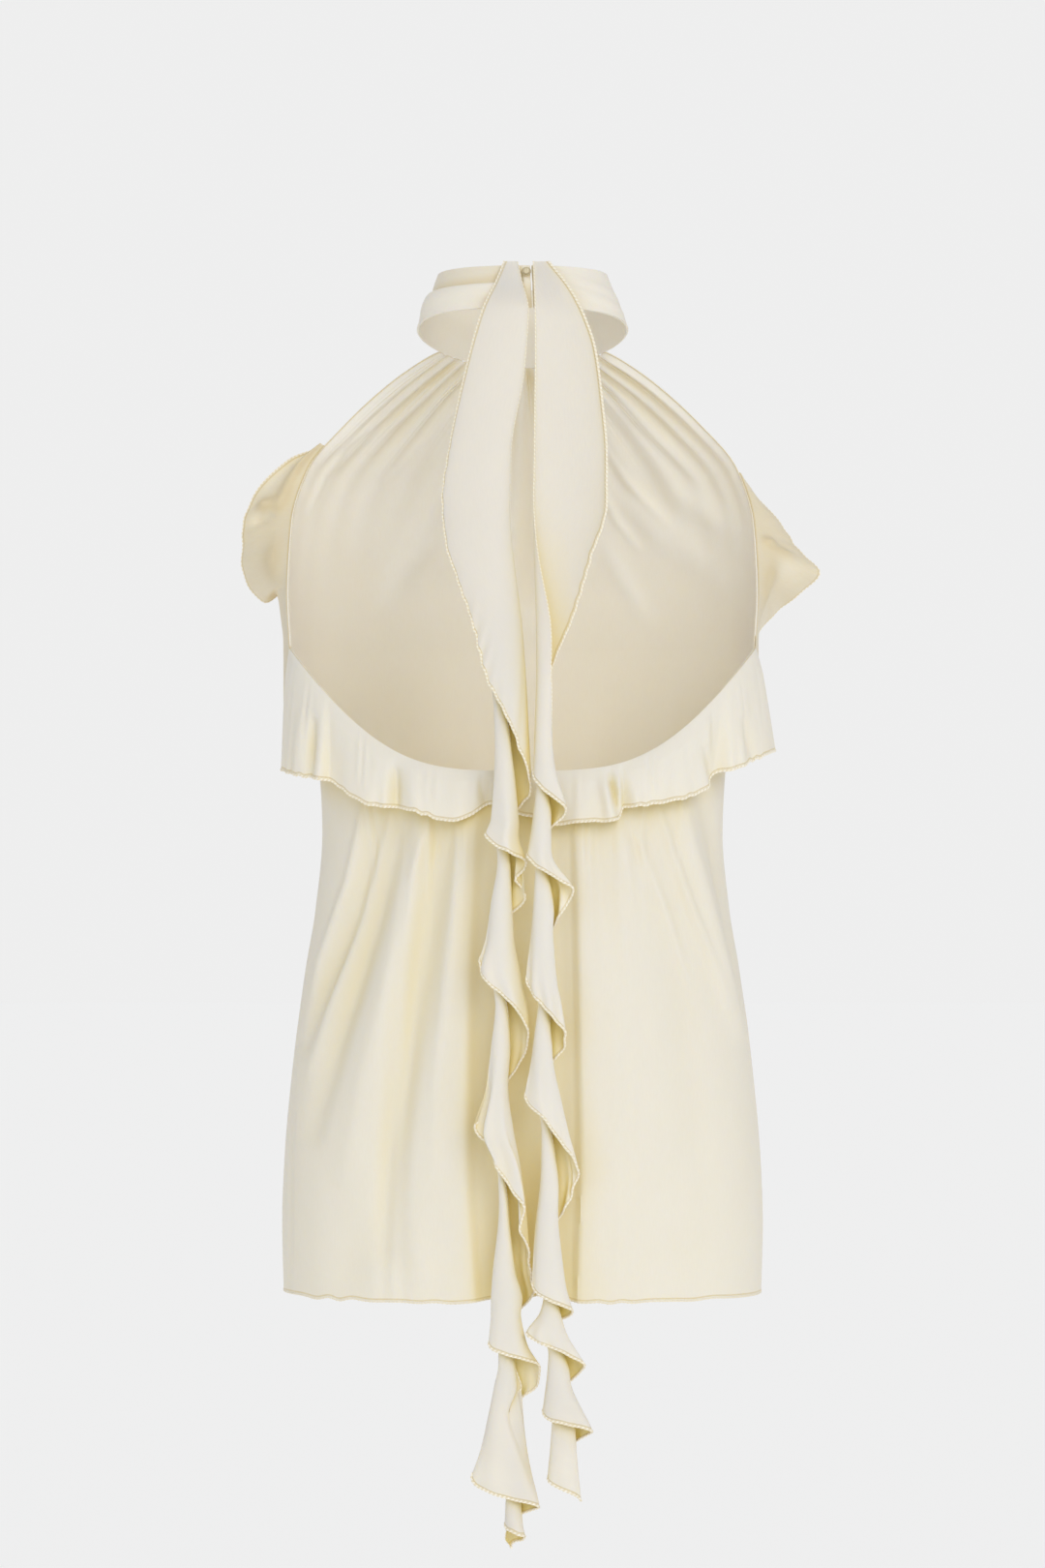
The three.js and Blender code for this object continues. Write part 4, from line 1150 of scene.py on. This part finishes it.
def crepe(name, light, deep, nook_shade_colour, nook_shade_reach=22, nook_shade_depth=1.25):
    """Smooth crepe: weave, slub, soft mottling, a stitched line by the hem that also paints shade beside it,
    and warmer painted shade in folds and nooks.
    """
    material, tree, shader = new_material(name)
    cloth = add_node(tree, "ShaderNodeAttribute", attribute_name="cloth").outputs["Vector"]
    fold = add_node(tree, "ShaderNodeAttribute", attribute_name="fold").outputs["Fac"]
    parts = add_node(tree, "ShaderNodeSeparateXYZ")
    tree.links.new(cloth, parts.inputs[0])
    threads = [
        math_node(tree, "SINE", math_node(tree, "MULTIPLY", part, 2 * math.pi / WEAVE_PITCH))
        for part in parts.outputs[:2]
    ]
    weave = math_node(tree, "MULTIPLY", *threads)
    slub = noise(tree, cloth, (1.0, 0.16, 1), 0.9, 3)
    grain = noise(tree, cloth, (1, 1, 1), 1.4, 2)
    patches = noise(tree, cloth, (1, 0.6, 1), 0.035, 2)
    relief = math_node(tree, "ADD", math_node(tree, "MULTIPLY", weave, WEAVE_RELIEF), slub)
    relief = math_node(tree, "ADD", relief, math_node(tree, "MULTIPLY", grain, GRAIN_RELIEF))
    bump = add_node(tree, "ShaderNodeBump")
    set_inputs(bump, {"Strength": BUMP_STRENGTH, "Distance": BUMP_DEPTH * MM})
    tree.links.new(relief, bump.inputs["Height"])
    tree.links.new(bump.outputs["Normal"], shader.inputs["Normal"])
    plain = mix(tree, math_node(tree, "MULTIPLY", slub, SLUB_TINT), linear(light), linear(deep))
    mottled = mix(tree, math_node(tree, "MULTIPLY", patches, PATCH_TINT), plain, linear(deep))
    # Painted shade in folds: the fold value mixes in the deep colour
    fold_shaded = mix(tree, math_node(tree, "MULTIPLY", fold, FOLD_SHADE), mottled, linear(deep))
    # Painted shade in nooks: where other cloth is near, as beside the ties and under the flounce, ambient
    # occlusion mixes in the nook colour
    occlusion_shade = add_node(tree, "ShaderNodeAmbientOcclusion", samples=NOOK_SHADE_SAMPLES)
    occlusion_shade.inputs["Distance"].default_value = nook_shade_reach * MM
    nook_shade_amount = math_node(tree, "SUBTRACT", 1.0, occlusion_shade.outputs["AO"])
    nook_shade_amount = math_node(tree, "MINIMUM", math_node(tree, "MULTIPLY", nook_shade_amount, nook_shade_depth), 1.0)
    shaded = mix(tree, nook_shade_amount, fold_shaded, linear(nook_shade_colour))
    # The stitched line by the hem, whose tan is also painted shade beside the hem's edge and over the lit
    # rims of the front's armhole edges
    hem = add_node(tree, "ShaderNodeAttribute", attribute_name="hem").outputs["Fac"]
    off_line = math_node(tree, "ABSOLUTE", math_node(tree, "SUBTRACT", hem, STITCH_LINE))
    line = math_node(tree, "SUBTRACT", 1.0, math_node(tree, "DIVIDE", off_line, STITCH_WIDTH))
    line = math_node(tree, "MAXIMUM", line, 0.0)
    line = math_node(tree, "MULTIPLY", line, math_node(tree, "MULTIPLY", grain, STITCH_STRENGTH))
    stitched = mix(tree, line, shaded, linear(STITCH_AND_SHADE_COLOUR))
    tree.links.new(stitched, shader.inputs["Base Color"])
    rough = math_node(tree, "MULTIPLY", grain, ROUGHNESS_SPREAD)
    rough = math_node(tree, "ADD", rough, ROUGHNESS - ROUGHNESS_SPREAD / 2)
    tree.links.new(rough, shader.inputs["Roughness"])
    gloss = {
        "Sheen Weight": SHEEN,
        "Sheen Roughness": 0.45,
        "Sheen Tint": linear(SHEEN_COLOUR),
        "Specular IOR Level": 0.35,
        "Subsurface Weight": 0.3,
        "Subsurface Radius": (1.0, 0.8, 0.45),
        "Subsurface Scale": LIGHT_REACH * MM,
    }
    set_inputs(shader, gloss)
    return material


def thread(name, light, dark, pitch):
    """Overlocking thread: light stitches by turns with darker ones, which paint the shade between the
    windings.
    """
    material, tree, shader = new_material(name)
    cloth = add_node(tree, "ShaderNodeAttribute", attribute_name="cloth").outputs["Vector"]
    parts = add_node(tree, "ShaderNodeSeparateXYZ")
    tree.links.new(cloth, parts.inputs[0])
    turn = math_node(tree, "MULTIPLY", parts.outputs[0], 2 * math.pi / pitch)
    slanted = math_node(tree, "SUBTRACT", turn, parts.outputs[1])
    wave = math_node(tree, "MULTIPLY", math_node(tree, "SINE", slanted), 0.5)
    wave = math_node(tree, "ADD", wave, 0.5)
    fray = noise(tree, cloth, (1, 0.3, 1), 1.1, 2)
    factor = math_node(tree, "ADD", math_node(tree, "MULTIPLY", wave, fray), 0.4)
    tree.links.new(mix(tree, factor, linear(dark), linear(light)), shader.inputs["Base Color"])
    set_inputs(shader, {"Roughness": 0.6, "Sheen Weight": 0.2})
    return material


# Each with its plain colour, a deeper colour for its mottling and for the painted shade in its folds, and the
# colour of the painted shade in its nooks.
# The pieces are one crepe, whose plain colours differ to paint how light falls on each: the front, seen from
# inside, lighter, the back and the ties darker.
# The armhole flounces are a shaded copy, and on the ties the fold colour is the lighter one, which paints
# light further down.
back_crepe = crepe("back_crepe", (241, 235, 222), (222, 211, 184), (236, 212, 124), nook_shade_reach=34)
front_crepe = crepe("front_crepe", (252, 248, 239), (234, 218, 190), (230, 212, 164))
band_crepe = crepe("band_crepe", (245, 240, 231), (226, 216, 192), (226, 210, 164))
flounce_crepe = crepe("flounce_crepe", (244, 238, 226), (231, 220, 190), (230, 212, 150))
shaded_flap_crepe = crepe("shaded_flap_crepe", (246, 238, 222), (206, 186, 142), (216, 194, 138))
tie_crepe = crepe("tie_crepe", (224, 218, 209), (251, 243, 226), (236, 213, 130), nook_shade_depth=1.5)
hem_thread = thread("hem_thread", (255, 250, 236), (226, 208, 162), STITCH_PITCH)
fine_thread = thread("fine_thread", (248, 242, 226), (226, 212, 176), 1.6)
# Darker, olive thread colours for the loop; the button takes them too, which paints it in the shade of the
# notch between the band's ends
loop_twist = thread("loop_twist", (228, 218, 190), (184, 166, 116), 1.2)


def dress(piece, node, material):
    """Gives a piece its material, puts it under the root body and, where it stands for a node, hides that
    node's CAD part.
    """
    piece.data.materials.append(material)
    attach(piece, "root")
    if node:
        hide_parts(node)
    return piece


def trim(name, line, radius, material):
    return dress(thread_edge(name, line, radius, STITCH_PITCH), None, material)


# Radii of the hems' edges, and the heights at which a fold takes on its full painted shade
BODY_HEM = 0.55
WIDE_HEM = 0.75
ARMHOLE_HEM = 0.6
TIE_INNER_HEM = 0.4
FRONT_SHADE_HEIGHT = 6
FRONT_INSIDE_SHADE_HEIGHT = 5
LOW_INSIDE_SHADE = 0.8
BACK_SHADE_HEIGHT = 14
FLOUNCE_SHADE_HEIGHT = 24

# The cloth pieces
grid, fold = neck_band_grid()
band = dress(shell("band_cloth", grid, BAND_SHELL, fold), "neck_band", band_crepe)

grid, height, low_inside_shade = front_panel_grid()
# The stitched line also runs just inside the armhole edges, where its tan paints shade over their lit rims
hem = from_hem(grid, seam_columns=True)
# Painted shade: the troughs of folds on each side, and the inside darker towards the bottom
inside_shade = height / FRONT_INSIDE_SHADE_HEIGHT + LOW_INSIDE_SHADE * low_inside_shade
front = shell("front_cloth", grid, SHELL, -height / FRONT_SHADE_HEIGHT, hem, inner_fold=inside_shade)
dress(front, "front_panel", front_crepe)
front_hem = trim("front_hem", grid[-1], BODY_HEM, fine_thread)

grid, height = back_panel_grid()
# Painted shade in the troughs of the back's folds
back = shell("back_cloth", grid, SHELL, -height / BACK_SHADE_HEIGHT, from_hem(grid))
dress(back, "back_panel", back_crepe)
back_hem = trim("back_hem", grid[-1], BODY_HEM, fine_thread)

grid, height = back_flounce_grid()
# Painted shade in the troughs of the flounce's folds and gathers
flounce = shell("flounce_back_cloth", grid, SHELL, -height / FLOUNCE_SHADE_HEIGHT, from_hem(grid))
dress(flounce, "flounce_back", flounce_crepe)
flounce_hem = trim("flounce_back_hem", grid[-1], WIDE_HEM, hem_thread)

for side, table, top, sign, dents, tuck in (
    ("left", LEFT_FLOUNCE, LEFT_FLOUNCE_TOP, 1, LEFT_DENTS, 0),
    ("right", RIGHT_FLOUNCE, RIGHT_FLOUNCE_TOP, -1, RIGHT_DENTS, RIGHT_HEM_TUCK),
):
    grid, height = armhole_flounce_grid(table, top, sign, dents, tuck)
    # The side that is seen from behind has the stronger painted shade all over, and both sides take painted
    # shade in the troughs of the dents
    sides = [0.1 - height / 9, 0.55 - height / 4]
    if grid_normals(grid)[..., 1].mean() > 0:
        sides.reverse()
    far = from_hem(grid, seam_rows=True)
    piece = shell(f"flounce_{side}_cloth", grid, SHELL, sides[0], far, inner_fold=sides[1])
    dress(piece, f"flounce_{side}", shaded_flap_crepe)
    hem = trim(f"flounce_{side}_hem", grid[-1], ARMHOLE_HEM, hem_thread)

for side, table, leaf_ripple, phase, curls in (
    ("left", LEFT_TIE, 1.2, 0.4, LEFT_CURLS),
    ("right", RIGHT_TIE, 0.6, 2.1, RIGHT_CURLS),
):
    grid, fold = tie_grid(table, leaf_ripple, phase, curls)
    piece = shell(f"tie_{side}_cloth", grid, TIE_SHELL, fold, lengths(grid, 1))
    dress(piece, f"tie_{side}", tie_crepe)
    hem = trim(f"tie_{side}_hem", grid[:, 0], WIDE_HEM, hem_thread)
    inner = trim(f"tie_{side}_inner_hem", grid[:, -1], TIE_INNER_HEM, hem_thread)


# Button and loop
def button_seat():
    """The outer face of the band at the button, and the way out of it."""
    rise = (BUTTON_Z - BAND_BACK_BOTTOM) / (BAND_BACK_TOP - BAND_BACK_BOTTOM)
    turn = math.asin(BUTTON_X / lerp(BAND_BOTTOM_HALF_WIDTH, BAND_TOP_HALF_WIDTH, rise))
    up = band_point(np.array(turn), 1) - band_point(np.array(turn), 0)
    out = np.cross(up, (1, 0, 0))
    return band_point(np.array(turn), rise), out / np.linalg.norm(out)


seat, seat_out = button_seat()


def placed_on_seat(local, lift):
    """Points with their own Z out of the band, put on the button's seat."""
    axes = np.stack([(1, 0, 0), np.cross(seat_out, (1, 0, 0)), seat_out])
    return seat + seat_out * lift + local @ axes


def covered_button():
    """A cloth-covered button: a dome with soft radial puckers, and a back of the same shape."""
    sides, rings = 40, 16
    around = np.linspace(0, 2 * np.pi, sides, endpoint=False)
    angle, fall = np.meshgrid(around, np.linspace(0, np.pi, rings + 1)[1:-1])
    pucker = 1 + PUCKER_DEPTH * np.sin(fall) ** 6 * np.cos(PUCKER_COUNT * angle)
    half = BUTTON_HEIGHT / 2
    radius = BUTTON_RADIUS * np.sin(fall) ** 0.8 * pucker
    local = np.stack([radius * np.cos(angle), radius * np.sin(angle), half * np.cos(fall)], axis=-1)
    points = np.concatenate([local.reshape(-1, 3), [(0, 0, half), (0, 0, -half)]])
    index = np.arange((rings - 1) * sides).reshape(rings - 1, sides)
    turned = np.roll(index, -1, axis=1)
    faces = quads(index[:-1], index[1:], turned[1:], turned[:-1]).tolist()
    top, low = len(points) - 2, len(points) - 1
    faces += [[top, int(a), int(b)] for a, b in zip(index[0], turned[0])]
    faces += [[low, int(b), int(a)] for a, b in zip(index[-1], turned[-1])]
    lift = CAD_BAND_CLOTH / 2 + SEAM_GAP + half + BUTTON_STAND_OFF
    plain = np.zeros(len(points))
    return new_object("button_cloth", placed_on_seat(points, lift), faces, points, plain, plain)


def thread_loop():
    """The thread loop as two strands twisted round each other."""
    sides, steps = 8, 132
    parts = []
    faces = []
    cloth = []
    for strand in (0, np.pi):
        around = np.linspace(0, 2 * np.pi, steps, endpoint=False)
        twist = around * LOOP_TWISTS + strand
        reach = LOOP_RADIUS + LOOP_STRAND_OFFSET * np.cos(twist)
        lift = LOOP_STRAND_OFFSET * np.sin(twist)
        centre = np.stack([reach * np.cos(around), reach * np.sin(around), lift], axis=1)
        out = np.stack([np.cos(around), np.sin(around), 0 * around], axis=1)
        angles = np.linspace(0, 2 * np.pi, sides, endpoint=False)
        ring = np.cos(angles)[None, :, None] * out[:, None]
        ring = ring + np.sin(angles)[None, :, None] * np.array((0, 0, 1))
        first = sum(len(part) for part in parts)
        parts.append((centre[:, None] + LOOP_STRAND_RADIUS * ring).reshape(-1, 3))
        index = first + np.arange(steps * sides).reshape(steps, sides)
        turned, after = np.roll(index, -1, axis=1), np.roll(index, -1, axis=0)
        both = np.roll(after, -1, axis=1)
        faces += quads(index, after, both, turned).tolist()
        flat = np.stack(np.broadcast_arrays(around[:, None] * LOOP_RADIUS, angles[None, :], 0), axis=-1)
        cloth.append(flat.reshape(-1, 3))
    points = np.concatenate(parts)
    lift = CAD_BAND_CLOTH / 2 + SEAM_GAP + LOOP_THREAD_RADIUS + BUTTON_STAND_OFF
    plain = np.zeros(len(points))
    return new_object("loop_thread", placed_on_seat(points, lift), faces, np.concatenate(cloth), plain, plain)


# The button wears the loop's darker thread colours as painted shade of the notch it sits in
dress(covered_button(), "neck_button", loop_twist)
dress(thread_loop(), "button_loop", loop_twist)

# Stage, light and camera
BACKGROUND = 0.858
FLOOR_GLOW = 0.31
FLOOR_SHADE = 0.8
FLOOR_SIZE = 40
FLOOR_Z = -1.25
DOME_RADIUS = 25
WORLD_LIGHT = 0.56
WORLD_COLOUR = (0.99, 0.995, 1, 1)


def flat_material(name, shade, glow):
    """Pale paint that sends back shade of the light, and glows a little of its own."""
    material, _, shader = new_material(name)
    set_inputs(shader, {"Base Color": (shade, shade, shade, 1), "Roughness": 1, "Specular IOR Level": 0})
    set_inputs(shader, {"Emission Color": (1, 1, 1, 1), "Emission Strength": glow})
    return material


bpy.ops.mesh.primitive_uv_sphere_add(segments=64, ring_count=32, radius=DOME_RADIUS)
dome = bpy.context.object
dome.name = "backdrop_dome"
dome.data.materials.append(flat_material("backdrop", 0, BACKGROUND))
for kind in ("diffuse", "glossy", "transmission", "volume_scatter", "shadow"):
    setattr(dome, f"visible_{kind}", False)

bpy.ops.mesh.primitive_plane_add(size=FLOOR_SIZE, location=(0, 0, FLOOR_Z))
floor = bpy.context.object
floor.name = "floor"
floor.data.materials.append(flat_material("floor_paint", FLOOR_SHADE, FLOOR_GLOW))

scene = bpy.context.scene
scene.view_settings.view_transform = "Standard"
world = bpy.data.worlds.new("studio")
world.use_nodes = True
set_inputs(world.node_tree.nodes["Background"], {"Color": WORLD_COLOUR, "Strength": WORLD_LIGHT})
scene.world = world


def soft_sun(name, direction, strength, softness_deg, colour):
    """A wide soft light that shines from direction."""
    data = bpy.data.lights.new(name, "SUN")
    data.energy = strength
    data.angle = math.radians(softness_deg)
    data.color = colour
    light = bpy.data.objects.new(name, data)
    light.rotation_mode = "QUATERNION"
    light.rotation_quaternion = Vector(direction).to_track_quat("Z", "Y")
    scene.collection.objects.link(light)


soft_sun("key", (-0.5, 1.0, 0.6), strength=0.76, softness_deg=34, colour=(1, 0.99, 0.975))
soft_sun("fill", (0.1, 1.0, -0.08), strength=0.78, softness_deg=60, colour=(1, 1, 1))

CAMERA_DISTANCE = 3.3
CAMERA_Z = -0.293
FRAME_HEIGHT = 0.972
SENSOR_HEIGHT = 36
camera_data = bpy.data.cameras.new("camera")
camera_data.sensor_fit = "VERTICAL"
camera_data.sensor_height = SENSOR_HEIGHT
camera_data.lens = SENSOR_HEIGHT * CAMERA_DISTANCE / FRAME_HEIGHT
camera = bpy.data.objects.new("camera", camera_data)
camera.location = (0, CAMERA_DISTANCE, CAMERA_Z)
camera.rotation_mode = "QUATERNION"
camera.rotation_quaternion = Vector((0, -1, 0)).to_track_quat("-Z", "Y")
scene.collection.objects.link(camera)
scene.camera = camera
